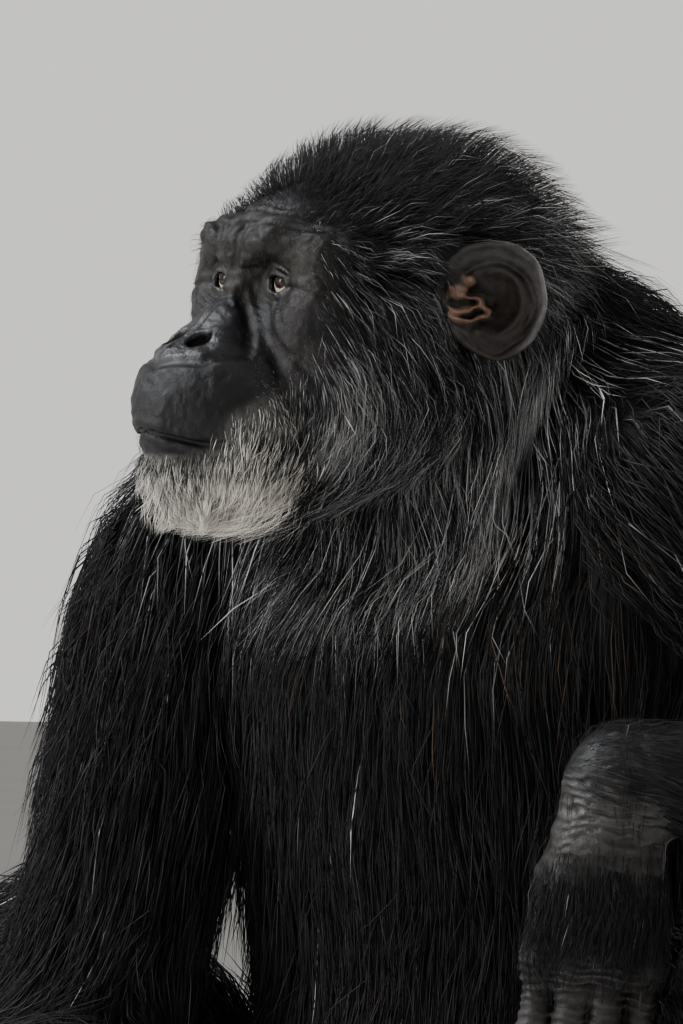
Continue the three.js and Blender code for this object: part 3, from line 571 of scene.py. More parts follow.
add_part("head", lambda p: face_skin(to_head(p)), *around([J["head"]], vec(110, 165, 130)))
add_part("head_form", lambda p: face_form(mirrored(to_head(p))), *around([J["head"]], vec(200, 260, 200)))
add_part("trunk", trunk_skin, (-260, -330, -60), (260, 260, 800))
add_part("neck", neck_skin, (-190, -300, 400), (190, 140, 820))
for side_name in SIDE_SIGN:
    for limb_name, (top_joint, end_joint, _) in LIMBS.items():
        ends = [J[f"{top_joint}_{side_name}"], J[f"{end_joint}_{side_name}"]]
        add_part(f"{limb_name}_{side_name}", limb_skin(limb_name, side_name), *around(ends, 130))
    hand_ends = [J[f"wrist_{side_name}"], J[f"wrist_{side_name}"] + HAND_POSES[side_name][0] * 200]
    add_part(f"hand_{side_name}", hand_skin(side_name), *around(hand_ends, 75))
    foot_ends = [J[f"ankle_{side_name}"], J[f"ankle_{side_name}"] + FOOT_POSES[side_name][0] * 190]
    add_part(f"foot_{side_name}", foot_skin(side_name), *around(foot_ends, 75))

BODY_PARTS = ["trunk", "neck"] + [f"{n}_{s}" for n in LIMBS for s in SIDE_SIGN]


def body_skin(p):
    """Trunk, neck and limbs as one smooth form."""
    return join(12, *[PARTS[n](p) for n in BODY_PARTS])


def whole_skin(p):
    """The whole animal, without the finest folds."""
    d = join(10, body_skin(p), PARTS["head_form"](p))
    for s in SIDE_SIGN:
        d = np.minimum(d, np.minimum(PARTS[f"hand_{s}"](p), PARTS[f"foot_{s}"](p)))
    return d


BATCH = 4000  # blocks of cells worked out at a time


def mesh_of(field, lo, hi, voxel, block=6):
    """A quad mesh of a field's surface, sampled only near it."""
    lo, hi = np.asarray(lo, np.float32), np.asarray(hi, np.float32)
    blocks = np.ceil((hi - lo) / (voxel * block)).astype(int)
    centres = np.stack(np.meshgrid(*[np.arange(n) for n in blocks], indexing="ij"), -1).reshape(-1, 3)
    d = field(lo + (centres + 0.5).astype(np.float32) * (voxel * block))
    band = voxel * block * 1.5
    far = np.float32(voxel * 3)
    values = np.full(blocks * block, far, np.float32)
    coarse = d.reshape(blocks)
    values[np.repeat(np.repeat(np.repeat(coarse < 0, block, 0), block, 1), block, 2)] = -far
    inner = np.stack(np.meshgrid(*[np.arange(block)] * 3, indexing="ij"), -1).reshape(-1, 3)
    near = centres[np.abs(d) < band]
    for start in range(0, len(near), BATCH):
        index = (near[start:start + BATCH, None, :] * block + inner[None]).reshape(-1, 3)
        found = field(lo + index.astype(np.float32) * voxel)
        values[index[:, 0], index[:, 1], index[:, 2]] = clamp(found, -far, far)
    grid = openvdb.FloatGrid(float(far))
    grid.copyFromArray(values)
    points, quads = grid.convertToQuads(isovalue=0.0)
    points = lo + np.asarray(points, np.float32) * voxel
    d, _, g = slope(field, points, voxel * 0.5)
    move = clamp(d / np.maximum(length(g), 0.4), -voxel, voxel)
    points -= unit(g) * move[:, None]
    return points, np.asarray(quads, np.int64)[:, ::-1]


def new_object(name, points, faces, smooth_shade=True):
    """A mesh object from points in millimetres and faces of one size."""
    mesh = bpy.data.meshes.new(name)
    count, sides = faces.shape
    mesh.vertices.add(len(points))
    mesh.vertices.foreach_set("co", (np.asarray(points, np.float32) * MM).ravel())
    mesh.loops.add(count * sides)
    mesh.loops.foreach_set("vertex_index", faces.astype(np.int32).ravel())
    mesh.polygons.add(count)
    mesh.polygons.foreach_set("loop_start", np.arange(0, count * sides, sides, dtype=np.int32))
    if smooth_shade:
        mesh.polygons.foreach_set("use_smooth", np.ones(count, bool))
    mesh.update()
    mesh.validate()
    made = bpy.data.objects.new(name, mesh)
    bpy.context.scene.collection.objects.link(made)
    return made


def set_colours(made, name, rgb):
    attribute = made.data.attributes.new(name, "FLOAT_COLOR", "POINT")
    rgba = np.ones((len(rgb), 4), np.float32)
    rgba[:, :3] = rgb
    attribute.data.foreach_set("color", rgba.ravel())


def set_values(made, name, values):
    attribute = made.data.attributes.new(name, "FLOAT", "POINT")
    attribute.data.foreach_set("value", np.asarray(values, np.float32))


# Pieces of the skin, each as points and quads in millimetres.
def face_piece():
    """The face in front of the ears, finely; its back wall lies inside the head."""
    lo, hi = vec(-80, 10, -118), vec(80, 152, 92)

    def field(h):
        return np.maximum(face_skin(h), 13 - h[:, 1])
    points, quads = mesh_of(field, lo, hi, FACE_VOXEL)
    return from_head(points), quads[:, ::-1]


THINNER = 2.5


def body_field(p):
    """Trunk, neck and limbs, thinner where the finer hands, feet and face lie over them."""
    h = to_head(p)
    head = np.maximum(PARTS["head_form"](p), h[:, 1] - 24)
    d = join(12, *[PARTS[n](p) for n in BODY_PARTS])
    for s in SIDE_SIGN:
        d = d + THINNER * smooth(55, 15, length(p - J[f"wrist_{s}"]))
        d = d + THINNER * smooth(60, 20, length(p - J[f"ankle_{s}"]))
    return np.maximum(join(10, d, head), BODY_LOW - p[:, 2])


EAR_AT = vec(83, -19, 8)
EAR_HIGH, EAR_WIDE, EAR_DEEP, EAR_THICK = 33, 30, 15, 3.4
EAR_RINGS, EAR_SECTORS = 46, 140


def ear_grid():
    """Ring, turn and whether it is on the front, for every point of an ear."""
    r = np.concatenate((np.linspace(0.01, 1, EAR_RINGS), np.linspace(0.985, 0.02, EAR_RINGS // 2)))
    w = np.arange(EAR_SECTORS) * (2 * math.pi / EAR_SECTORS)
    front = np.arange(len(r)) < EAR_RINGS
    return np.repeat(r, EAR_SECTORS), np.tile(w, len(r)), np.repeat(front, EAR_SECTORS)


def ear_lobes(x, y):
    """Uneven ridges in the bowl of the ear, from 0 to 1."""
    where = np.stack((x, y, 0 * x), 1)
    bent = where + 0.09 * np.stack((noise(where, 0.22, 35), noise(where, 0.22, 36), 0 * x), 1)
    veins = bump(noise(bent, (0.34, 0.2, 1), 33), 0.05, 0.36)
    return veins * smooth(1.15, 0.75, np.hypot((x + 0.42) / 0.42, (y + 0.06) / 0.5))


def ear_relief(r, x, y):
    """How far the front of the ear stands out, over its rings: x to the nape, y up, both up to 1."""
    out = -EAR_DEEP * (1 - r) ** 1.4
    uneven = noise(np.stack((x, y, 0 * x), 1), 0.4, 34)
    r = r + 0.05 * uneven * smooth(1.0, 0.85, r)
    back_part = smooth(-0.75, -0.1, x + 0.25 * np.abs(y))
    out += 2.6 * bump(r, 0.94, 0.07) * back_part  # rolled rim
    out -= 1.9 * bump(r, 0.74 - 0.1 * y, 0.06) * back_part * smooth(-0.35, 0.05, y + 0.3) * (1 + 0.6 * uneven)
    out += 2.2 * bump(r, 0.56, 0.09) * smooth(-0.3, 0.2, x) * (1 + 0.7 * uneven)  # inner ridge
    out -= 7.5 * bump(x, -0.42, 0.36) * bump(y, -0.02, 0.36)  # bowl
    out += 5.0 * ear_lobes(x, y)
    out += 5.5 * bump(x, -0.82, 0.13) * bump(y, -0.28, 0.13)  # flap over the ear hole
    out -= 1.2 * bump(r, 0.86, 0.022) * smooth(-0.4, -0.7, y)  # fold along the lower rim
    out -= 9 * smooth(-0.72, -1.0, x) * smooth(0.75, 0.2, np.abs(y + 0.1))  # where it grows from the cheek
    return out


def ear_axes(side):
    """Which way an ear faces, its way to the nape and its way up, in the head's axes."""
    facing = unit((side * 0.82, 0.55, 0.1))
    back = -unit(np.cross((0, 0, side), facing))
    return facing, back, unit(np.cross(back, facing)) * side


def ear_piece(side):
    facing, back, up = ear_axes(side)
    r, w, front = ear_grid()
    c, s = np.cos(w), np.sin(w)
    x, y = r * c, r * s
    ripple = 1 + 0.012 * np.cos(5 * w + 1.3) + 0.008 * np.cos(9 * w)
    wide = x * EAR_WIDE * (1 + 0.1 * s - 0.06 * c) * ripple
    high = y * EAR_HIGH * np.where(s > 0, 1, 0.92 + 0.1 * c) * ripple
    place = np.stack((wide, high, np.full(len(x), 50.0 * side)), 1)
    folds = 0.5 * noise(place, 4.5, 31) + 0.5 * smooth(0.55, 0.75, r) * noise(place, 9, 32)
    behind = -EAR_DEEP * (1 - r) ** 1.4 - EAR_THICK * (1 - r ** 6) - 6 * (1 - r) ** 2
    out = np.where(front, ear_relief(r, x, y) + folds, behind)
    points = vec(side, 1, 1) * EAR_AT + np.outer(wide, back) + np.outer(high, up) + np.outer(out, facing)
    k = np.arange(len(r) // EAR_SECTORS - 1)[:, None] * EAR_SECTORS
    i = np.arange(EAR_SECTORS)[None]
    j = (i + 1) % EAR_SECTORS
    quads = np.stack((k + i, k + j, k + EAR_SECTORS + j, k + EAR_SECTORS + i), -1).reshape(-1, 4)
    return from_head(points), quads if side < 0 else quads[:, ::-1]


FACE_VOXEL = 1.15
HAND_VOXEL = {"left": 1.3, "right": 2.6}
FOOT_VOXEL = 3.2
BODY_VOXEL = 5.5
BODY_BOX = (vec(-330, -420, -12), vec(460, 190, 790))


def skin_pieces():
    pieces = {"face": face_piece(), "body": mesh_of(body_field, *BODY_BOX, BODY_VOXEL)}
    for side, sign in SIDE_SIGN.items():
        pieces[f"ear_{side}"] = ear_piece(sign)
        wrist, along = J[f"wrist_{side}"], HAND_POSES[side][0]
        box = around([wrist, wrist + along * 195], 78)
        pieces[f"hand_{side}"] = mesh_of(PARTS[f"hand_{side}"], *box, HAND_VOXEL[side])
        ankle, toes = J[f"ankle_{side}"], FOOT_POSES[side][0]
        box = around([ankle, ankle + toes * 190], 75)
        pieces[f"foot_{side}"] = mesh_of(PARTS[f"foot_{side}"], *box, FOOT_VOXEL)
    return pieces


# A coarse table of the whole skin's distance, for combing hairs over it.
class Distances:
    STEP = 7.0
    SLAB = 8  # layers worked out at a time

    def __init__(self, field, lo, hi):
        self.lo = np.asarray(lo, np.float32)
        self.counts = np.ceil((np.asarray(hi) - self.lo) / self.STEP).astype(int) + 1
        axes = [np.arange(n, dtype=np.float32) * self.STEP + at for n, at in zip(self.counts, self.lo)]
        rows = []
        for i in range(0, self.counts[0], self.SLAB):
            block = np.meshgrid(axes[0][i:i + self.SLAB], axes[1], axes[2], indexing="ij")
            rows.append(field(np.stack(block, -1).reshape(-1, 3)))
        self.values = np.concatenate(rows).reshape(self.counts)
        self.slopes = np.stack(np.gradient(self.values, self.STEP), -1)

    def at(self, p):
        """Distance and outward direction at each point."""
        q = clamp((p - self.lo) / self.STEP, 0, self.counts - 1.001)
        i = q.astype(int)
        f = (q - i).astype(np.float32)
        d = np.zeros(len(p), np.float32)
        g = np.zeros((len(p), 3), np.float32)
        for corner, weight in cell_corners(f):
            at = tuple((i + corner).T)
            d += weight * self.values[at]
            g += weight[:, None] * self.slopes[at]
        return d, unit(g)


LABELS = BODY_PARTS + ["head_form", "hand_left", "hand_right", "foot_left", "foot_right"]


def labels_of(p):
    """Which part of the animal each point of the skin belongs to."""
    return np.argmin([PARTS[n](p) for n in LABELS], 0)


# Markings, shared by skin and coat, with light and shade painted into the skin's colour in places. Colours
# are linear.
BLACK = vec(0.0105, 0.0105, 0.012)
GREY = vec(0.11, 0.115, 0.125)
SILVER = vec(0.37, 0.365, 0.36)
CREAM = vec(0.97, 0.93, 0.85)
BROWN = vec(0.034, 0.022, 0.015)


def crown_share(h):
    return smooth(22, 50, h[:, 2]) * smooth(66, 44, h[:, 1])


def beard_share(h):
    return smooth(48, 68, h[:, 1]) * smooth(-58, -74, h[:, 2])


def coat_edge(h):
    """1 where the head is under the coat, 0 on the bare face."""
    side, up = np.abs(h[:, 0]), h[:, 2]
    edge = 70 + 0.2 * np.maximum(0, -up) - 0.1 * np.maximum(0, up - 36) - 0.05 * side
    edge += 34 * smooth(-26, -58, up) + 70 * smooth(-71, -85, up)
    return smooth(edge + 12, edge - 12, h[:, 1])


def spot(p, at, size):
    return np.exp(-np.sum(((p - np.asarray(at, np.float32)) / np.asarray(size, np.float32)) ** 2, 1))


def near_head(h):
    return smooth(165, 125, length(h - vec(0, 30, 0)))


def silver_share(p, h):
    cheek = 1.0 * spot(mirrored(h), (58, 60, -42), (26, 17, 36))
    jowl = 0.34 * smooth(0, -50, h[:, 2])
    temple = 0.22 * smooth(52, 30, h[:, 2]) * smooth(0, 30, h[:, 1])
    behind = spot(mirrored(h), (66, -56, -2), (34, 36, 42))
    head = 0.03 + np.maximum(np.maximum(cheek, jowl), np.maximum(temple, behind))
    q = mirrored(p)
    throat = 0.6 * spot(q, (64, -132, 596), (38, 80, 50)) * smooth(-60, 30, p[:, 0])
    share = near_head(h)
    return clamp(share * head + np.maximum(1 - share, 0.6) * (0.004 + throat))


def cream_share(h):
    chin = smooth(60, 84, h[:, 1]) * smooth(-74, -84, h[:, 2])
    corner = spot(mirrored(h), (38, 98, -68), (15, 24, 24))
    dull = 1 - 0.45 * spot(mirrored(h), (13, 128, -85), (13, 18, 7))
    return clamp(np.maximum(chin * dull, 0.7 * corner)) * near_head(h)


def coat_base(p, h):
    """The coat's mean colour at each place."""
    silver = silver_share(p, h)[:, None]
    cream = cream_share(h)[:, None]
    brown = (0.6 * spot(p, (110, -190, 560), (45, 50, 40)))[:, None]
    base = BLACK + (GREY - BLACK) * silver * 0.6
    base = base + (BROWN - base) * brown
    return base + (CREAM * 0.8 - base) * cream


FACE_BLUE = vec(0.0075, 0.0078, 0.0095)
FACE_DARK = vec(0.010, 0.0095, 0.011)
FACE_OLIVE = vec(0.010, 0.0082, 0.0065)
FACE_RED = vec(0.036, 0.019, 0.015)
# painted sheen: a lighter, bluer colour for the forehead, standing in for the shine of light from above
FOREHEAD_SHEEN = vec(0.080, 0.077, 0.086)
FACE_PINK = vec(0.30, 0.185, 0.135)
HAND_GREY = vec(0.026, 0.0245, 0.025)
HAND_BROWN = vec(0.021, 0.018, 0.0165)


def mix_in(base, other, share):
    return base + (other - base) * share[:, None]


def bare_tint(h):
    """Colour of the bare face, with painted shade in its folds, on the lower sides of the muzzle, in the
    mouth, the nostrils and round the eyes, painted light on the ridges between wrinkles and a painted sheen
    on the forehead.
    """
    q = mirrored(h)
    tint = np.broadcast_to(FACE_DARK, h.shape).copy()
    tint = mix_in(tint, FACE_BLUE, smooth(92, 112, q[:, 1]))
    tint = mix_in(tint, FACE_OLIVE, 0.85 * smooth(0, 12, q[:, 2]) * smooth(56, 70, q[:, 1]))
    # painted sheen: the upper forehead made lighter, as light from above shines on it
    tint = mix_in(tint, FOREHEAD_SHEEN, smooth(46, 60, q[:, 2]))
    # painted shade: the lower sides of the muzzle are made darker, as shade away from the light
    flank_shade = 0.45 * smooth(8, 24, q[:, 0]) * smooth(96, 110, q[:, 1]) * smooth(-24, -34, q[:, 2])
    tint = tint * (1 - flank_shade)[:, None]
    tint = mix_in(tint, FACE_RED, 0.8 * spot(q, (46, 66, -24), (16, 16, 16)))
    tint = mix_in(tint, FACE_RED * 0.8, 0.5 * spot(q, (46, 70, 8), (10, 12, 8)))
    tint = mix_in(tint, FACE_BLUE * 1.2, 0.6 * bump(q[:, 2], -75, 5) * smooth(100, 118, q[:, 1]))
    patches = clamp(0.5 + 0.6 * noise(h, 13, 41) + 0.4 * noise(h, 6, 42))
    tint = tint * (0.6 + 0.75 * patches)[:, None]
    u, v = eye_place(q)
    # painted shade and light: darker in the named folds and fine wrinkles, lighter on the ridges between them
    painted_fold_shade = 0.65 * fold_share(q) + 0.5 * clamp(fine_folds(h, q, u, v), -0.8, 1)
    tint = tint * (1 - 1.05 * np.minimum(painted_fold_shade, 0.9))[:, None]
    # painted shade: near-black in the mouth's slit and the nostrils, and a dark ring in the hollow round the
    # eye opening
    pit_shade = smooth(2.6, 1.2, near_line(q, LIP_LINE))
    pit_shade = np.maximum(pit_shade, smooth(12, 9, length(q - NOSTRIL + NOSTRIL_WAY * 8)))
    eye_rim_shade = bump(np.hypot(u / 7.9, v / 5.0), 1.0, 0.2)
    eye_rim_shade = eye_rim_shade * smooth(EYE[1] + 2, EYE[1] + 6, q[:, 1]) * bump(v, 0, 12)
    return mix_in(tint, vec(0.004, 0.003, 0.003), clamp(np.maximum(pit_shade, 0.5 * eye_rim_shade)))


def skin_tint(p, label_ids):
    h = to_head(p)
    # painted shade: the skin under the coat takes the coat's colour darkened to 0.3 of it, less under cream
    # hair, as the shade beneath the hairs
    base = coat_base(p, h) * (0.3 + 0.6 * cream_share(h))[:, None] + 0.003
    head = label_ids == LABELS.index("head_form")
    bare = np.where(head, 1 - coat_edge(h), 0)
    tint = mix_in(base, bare_tint(h), bare)
    patches = clamp(0.5 + 0.5 * noise(p, 17, 43) + 0.5 * noise(p, 7, 44))
    bare_tone = mix_in(np.broadcast_to(HAND_GREY, p.shape), HAND_BROWN, patches)
    for s in SIDE_SIGN:
        for kind in ("hand", "foot"):
            mine = label_ids == LABELS.index(f"{kind}_{s}")
            tone = bare_tone
            if kind == "hand":
                reach = (p - J[f"wrist_{s}"]) @ HAND_POSES[s][0]
                # painted shade and light: darker in the wrinkles that the folds cut, lighter between them
                tone = tone * (1 - 0.65 * clamp(hand_folds(p, s), -1, 1.2))[:, None]
                tone = tone * (1 - 0.55 * bump(reach, 64, 26))[:, None]
                tone = mix_in(tone, base, smooth(-6, -26, reach))
            tint = np.where(mine[:, None], tone, tint)
    return tint


def ear_tint():
    """Colour at every point of an ear, with painted light on the top and back of its rim and on its upper
    part, and painted shade in its bowl.
    """
    r, w, _ = ear_grid()
    x, y = r * np.cos(w), r * np.sin(w)
    tint = np.broadcast_to(vec(0.026, 0.020, 0.018), (len(x), 3)).copy()
    # painted sheen: a pale grey rim on the ear's top and back, and a lighter upper part, where the light
    # falls
    tint = mix_in(tint, vec(0.125, 0.12, 0.122), smooth(0.82, 0.97, r) * smooth(-0.6, 0.4, y + x))
    tint = mix_in(tint, vec(0.050, 0.048, 0.048), smooth(0.4, 0.7, y))
    # painted shade: the hollow bowl of the ear made near-black
    bowl = smooth(1.1, 0.8, np.hypot((x + 0.42) / 0.42, (y + 0.06) / 0.5))
    tint = mix_in(tint, vec(0.008, 0.005, 0.004), bowl)
    tint = mix_in(tint, FACE_PINK, smooth(0.18, 0.6, ear_lobes(x, y)))
    return mix_in(tint, FACE_PINK * 0.8, clamp(bump(x, -0.8, 0.1) * bump(y, -0.28, 0.1)))


def ear_place(p, side):
    """Across and up the ear, up to 1, of points on it."""
    _, back, up = ear_axes(side)
    q = to_head(p) - vec(side, 1, 1) * EAR_AT
    return np.stack((q @ back / EAR_WIDE, q @ up / EAR_HIGH), 1)


def skin_wetness(p, name):
    """How wet a piece of skin shines: most round the eyes and on the nose, and below 0 where it is dull."""
    kind, _, side = name.partition("_")
    if kind == "ear":
        return np.full(len(p), 0.3)
    if kind == "face":
        h = mirrored(to_head(p))
        nose = smooth(94, 112, h[:, 1]) * smooth(-34, -22, h[:, 2]) * smooth(4, -8, h[:, 2])
        rim = bump(length(h - EYE), EYE_R + 2.0, 1.0)
        return np.maximum(nose * 0.7, rim)
    if kind == "hand":
        reach = (p - J[f"wrist_{side}"]) @ HAND_POSES[side][0]
        return 0.1 + 0.6 * bump(reach, 22, 14)
    return np.full(len(p), -1.0)


def make_skin(pieces):
    points, faces, tints, wet = [], [], [], []
    start = 0
    for name, (pts, quads) in pieces.items():
        points.append(pts)
        faces.append(quads + start)
        start += len(pts)
        tints.append(ear_tint() if name.startswith("ear") else skin_tint(pts, labels_of(pts)))
        wet.append(skin_wetness(pts, name))
    skin = new_object("skin", np.concatenate(points), np.concatenate(faces))
    set_colours(skin, "tint", np.concatenate(tints))
    set_values(skin, "wet", np.concatenate(wet))
    return skin


# Hairs: closed, tapered blades of three sides.
def blade_pattern(rings):
    """Faces of one blade with so many rings and a tip."""
    faces = [(0, 2, 1)]
    for k in range(rings - 1):
        for i in range(3):
            a, b = 3 * k + i, 3 * k + (i + 1) % 3
            faces += [(a, b, b + 3), (a, b + 3, a + 3)]
    last = 3 * (rings - 1)
    faces += [(last + i, last + (i + 1) % 3, last + 3) for i in range(3)]
    return np.array(faces)


PATCH = 0.003  # size of a tuft's patch on the map for baking


def blades(name, paths, normals, widths, tints, root_uv, draw):
    """One object of hairs; each path has a root, middle points and a tip."""
    count, knots, _ = paths.shape
    rings = knots - 1
    ways = np.empty_like(paths)
    ways[:, 1:-1] = paths[:, 2:] - paths[:, :-2]
    ways[:, 0] = paths[:, 1] - paths[:, 0]
    ways[:, -1] = paths[:, -1] - paths[:, -2]
    ways = unit(ways)
    side = unit(np.cross(normals[:, None], ways))
    top = np.cross(ways, side)
    roll = draw.normal(0, 0.45, count).astype(np.float32)[:, None, None]
    side, top = side * np.cos(roll) + top * np.sin(roll), top * np.cos(roll) - side * np.sin(roll)
    shares = np.interp(np.arange(rings) / rings, (0, 0.35, 0.7, 1), (0.75, 1, 0.8, 0.3)).astype(np.float32)
    half = 0.5 * widths[:, None] * shares[None]
    centre, s, n = paths[:, :rings], side[:, :rings] * half[..., None], top[:, :rings] * half[..., None]
    ring = np.stack((centre - s - 0.25 * n, centre + s - 0.25 * n, centre + 0.65 * n), 2)
    points = np.concatenate((ring.reshape(count, rings * 3, 3), paths[:, -1:]), 1)
    each = rings * 3 + 1
    pattern = blade_pattern(rings)
    faces = (np.arange(count)[:, None, None] * each + pattern[None]).reshape(-1, 3)
    made = new_object(name, points.reshape(-1, 3), faces)
    along = np.concatenate((np.repeat(np.arange(rings) / rings, 3), (1.0,))).astype(np.float32)
    set_colours(made, "tint", np.repeat(tints, each, 0))
    set_values(made, "along", np.tile(along, count))
    across = np.concatenate((np.tile((-0.5, 0.5, 0.0), rings), (0.0,)))
    local = np.stack((across, along - 0.5), 1) * PATCH
    uv = (root_uv[:, None] + local[None])[:, pattern].reshape(-1, 2)
    layer = made.data.uv_layers.new(name="OFBake")
    layer.data.foreach_set("uv", uv.astype(np.float32).ravel())
    return made


def part_axis(name):
    """The line that a part runs along."""
    if name == "trunk":
        return vec(0, 0, 0), vec(0, -40, 660)
    if name == "neck":
        return J["neck_low"], J["neck_top"]
    kind, side = name.rsplit("_", 1)
    if kind in LIMBS:
        return J[f"{LIMBS[kind][0]}_{side}"], J[f"{LIMBS[kind][1]}_{side}"]
    start = J[f"{'wrist' if kind == 'hand' else 'ankle'}_{side}"]
    way = (HAND_POSES if kind == "hand" else FOOT_POSES)[side][0]
    return start, start + way * 190


def unwrap(p, label_ids):
    """Each point's place on the skin's own unwrap: round and along its part, in the part's own tile."""
    out = np.zeros((len(p), 2), np.float32)
    columns = 4
    for k, name in enumerate(LABELS):
        mine = label_ids == k
        if not mine.any():
            continue
        q = p[mine]
        if name == "head_form":
            h = to_head(q) - vec(0, 30, 0)
            u = np.arctan2(h[:, 0], h[:, 1]) / (2 * math.pi) + 0.5
            v = np.arccos(clamp(h[:, 2] / np.maximum(length(h), 1), -1, 1)) / math.pi
        else:
            a, b = part_axis(name)
            way = unit(b - a)
            v = clamp(0.1 + 0.8 * ((q - a) @ way) / float(length(b - a)), 0, 1)
            e = unit(np.cross(way, (0.3, 1, 0.2)))
            f = np.cross(way, e)
            u = np.arctan2((q - a) @ e, (q - a) @ f) / (2 * math.pi) + 0.5
        row, column = divmod(k, columns)
        out[mine] = (np.stack((u, v), 1) * 0.94 + 0.03 + (column, row)) / columns
    return out


STEPS = 6
ROOT_DEPTH = 1.6  # how far a hair starts under the skin
HAIR_LOW = 2.5  # lowest middle of a hair over the floor


def comb(skin, roots, flow, travel, height, hang, draw, stray=0.06, wave=0.22):
    """Paths of hairs: each slides along the flow while it rises over the skin, up to its height."""
    count = len(roots)
    paths = np.empty((count, STEPS + 1, 3), np.float32)
    p = roots.astype(np.float32).copy()
    d0, n = skin.at(p)
    first_normal = n
    wild = draw.random(count) < stray
    turn = draw.normal(0, np.where(wild, 0.5, 0.13)).astype(np.float32)
    height = height * np.where(wild, 1.2 + 1.9 * stray, 0.35 + 0.65 * draw.random(count)).astype(np.float32)
    paths[:, 0] = p - n * ROOT_DEPTH
    for k in range(1, STEPS + 1):
        t = k / STEPS
        way = flow(p)
        way = way + wave * np.stack([noise(p, 34, 60 + i) for i in range(3)], 1)
        side = np.cross(n, way)
        way = way + side * (turn * (0.4 + 0.6 * t))[:, None]
        way = way - n * np.einsum("ij,ij->i", way, n)[:, None] * 0.999
        p = p + unit(way) * (travel / STEPS)[:, None]
        d, n = skin.at(p)
        wanted = d0 + height * (1 - (1 - t) ** 2)
        push = wanted - d
        push = np.where(push < 0, push * (1 - hang * t), push)
        p = p + n * push[:, None]
        p[:, 2] = np.maximum(p[:, 2], HAIR_LOW)
        paths[:, k] = p
    return paths, first_normal


def clump(paths, roots, share, per, draw):
    """Draws hairs together towards the tips, round one hair in so many."""
    leaders = draw.choice(len(roots), max(1, len(roots) // per), replace=False)
    tree = KDTree(len(leaders))
    for k, i in enumerate(leaders):
        tree.insert(roots[i], k)
    tree.balance()
    mine = leaders[np.array([tree.find(r)[1] for r in roots.tolist()])]
    t = (np.arange(paths.shape[1]) / STEPS).astype(np.float32)
    pull = (share * draw.uniform(0.5, 1.1, len(roots)))[:, None, None] * (t ** 1.3)[None, :, None]
    return paths + (paths[mine] - paths) * clamp(pull, 0, 0.9)


def pick_roots(surface, weight, count, draw):
    """Evenly spread places on the skin, in proportion to a weight."""
    points, quads, areas = surface
    amount = np.cumsum(areas * weight)
    where = (np.arange(count) + draw.random(count)) * (amount[-1] / count)
    chosen = np.searchsorted(amount, where)
    chosen = np.minimum(chosen, len(quads) - 1)
    a, b, c, d = (points[quads[chosen, i]] for i in range(4))
    u, v = draw.random((2, count)).astype(np.float32)[..., None]
    return (a * (1 - u) + b * u) * (1 - v) + (d * (1 - u) + c * u) * v, chosen


# The coat, region by region.
def label_mask(surface, *names):
    ids = [LABELS.index(n) for n in names]
    return np.isin(surface["labels"], ids).astype(np.float32)


def make_surface(pieces):
    """All faces that can carry hairs, with what is known of each."""
    points, quads, start, front = [], [], 0, []
    for name, (pts, q) in pieces.items():
        if name.startswith("ear"):
            continue
        points.append(pts)
        quads.append(q + start)
        front.append(np.full(len(q), name == "face"))
        start += len(pts)
    points, quads, front = np.concatenate(points), np.concatenate(quads), np.concatenate(front)
    corners = points[quads]
    centres = corners.mean(1)
    areas = 0.5 * length(np.cross(corners[:, 2] - corners[:, 0], corners[:, 3] - corners[:, 1]))
    h = to_head(centres)
    labels = labels_of(centres)
    depth = np.min([PARTS[n](centres) for n in LABELS], 0)
    head = labels == LABELS.index("head_form")
    bare = head & (front != (h[:, 1] > 20)) | (depth < -6)
    ear_gap = np.hypot(h[:, 1] + 19, h[:, 2] - 6)
    bare |= head & (ear_gap < 25) & (np.abs(h[:, 0]) > 45)
    return {"points": points, "quads": quads, "centres": centres, "areas": np.where(bare, 0, areas),
            "h": h, "labels": labels}


def head_flow(p):
    h = to_head(p)
    sign = np.sign(h[:, 0])
    zero, one = np.zeros(len(p)), np.ones(len(p))
    cheek = unit(np.stack((sign * 0.1, -0.42 + 0.6 * smooth(-20, -70, h[:, 2]), -one), 1))
    back = unit(np.stack((0.2 * sign, -one, zero + 0.1), 1))
    down = unit(np.stack((sign * 0.2, zero + 0.4, -one), 1))
    way = mix_in(mix_in(cheek, back, crown_share(h)), down, beard_share(h))
    return unit(turn_from_head(way)).astype(np.float32)


def neck_flow(p):
    return unit(np.stack((0.0015 * p[:, 0], np.full(len(p), 0.12), np.full(len(p), -1.0)), 1))


def trunk_flow(p):
    outward = 0.9 * clamp(p[:, 0] / 120, -1, 1) * smooth(540, 600, p[:, 2])
    return unit(np.stack((outward, 0.2 * smooth(600, 680, p[:, 2]), np.full(len(p), -1.0)), 1))


def limb_flow(side, arm):
    shoulder, elbow, wrist = (J[f"{n}_{side}"] for n in ("shoulder", "elbow", "wrist"))
    hip, knee = J[f"hip_{side}"], J[f"knee_{side}"]
    if arm:
        parts = [(f"upper_arm_{side}", elbow - shoulder + vec(0, 0, -60)),
                 (f"forearm_{side}", elbow - wrist + vec(0, 0, -70))]
    else:
        parts = [(f"thigh_{side}", knee - hip + vec(0, 0, -90)), (f"lower_leg_{side}", vec(0, 0, -1))]

    def flow(p):
        near = [PARTS[name](p) for name, _ in parts]
        share = smooth(-25, 25, near[0] - near[1])
        first = np.broadcast_to(unit(parts[0][1]), p.shape)
        return unit(mix_in(first, unit(parts[1][1]), share))
    return flow


def end_flow(side, hand):
    way = (HAND_POSES if hand else FOOT_POSES)[side][0] + vec(0, 0, -0.25)

    def flow(p):
        return np.broadcast_to(unit(way), p.shape).astype(np.float32)
    return flow


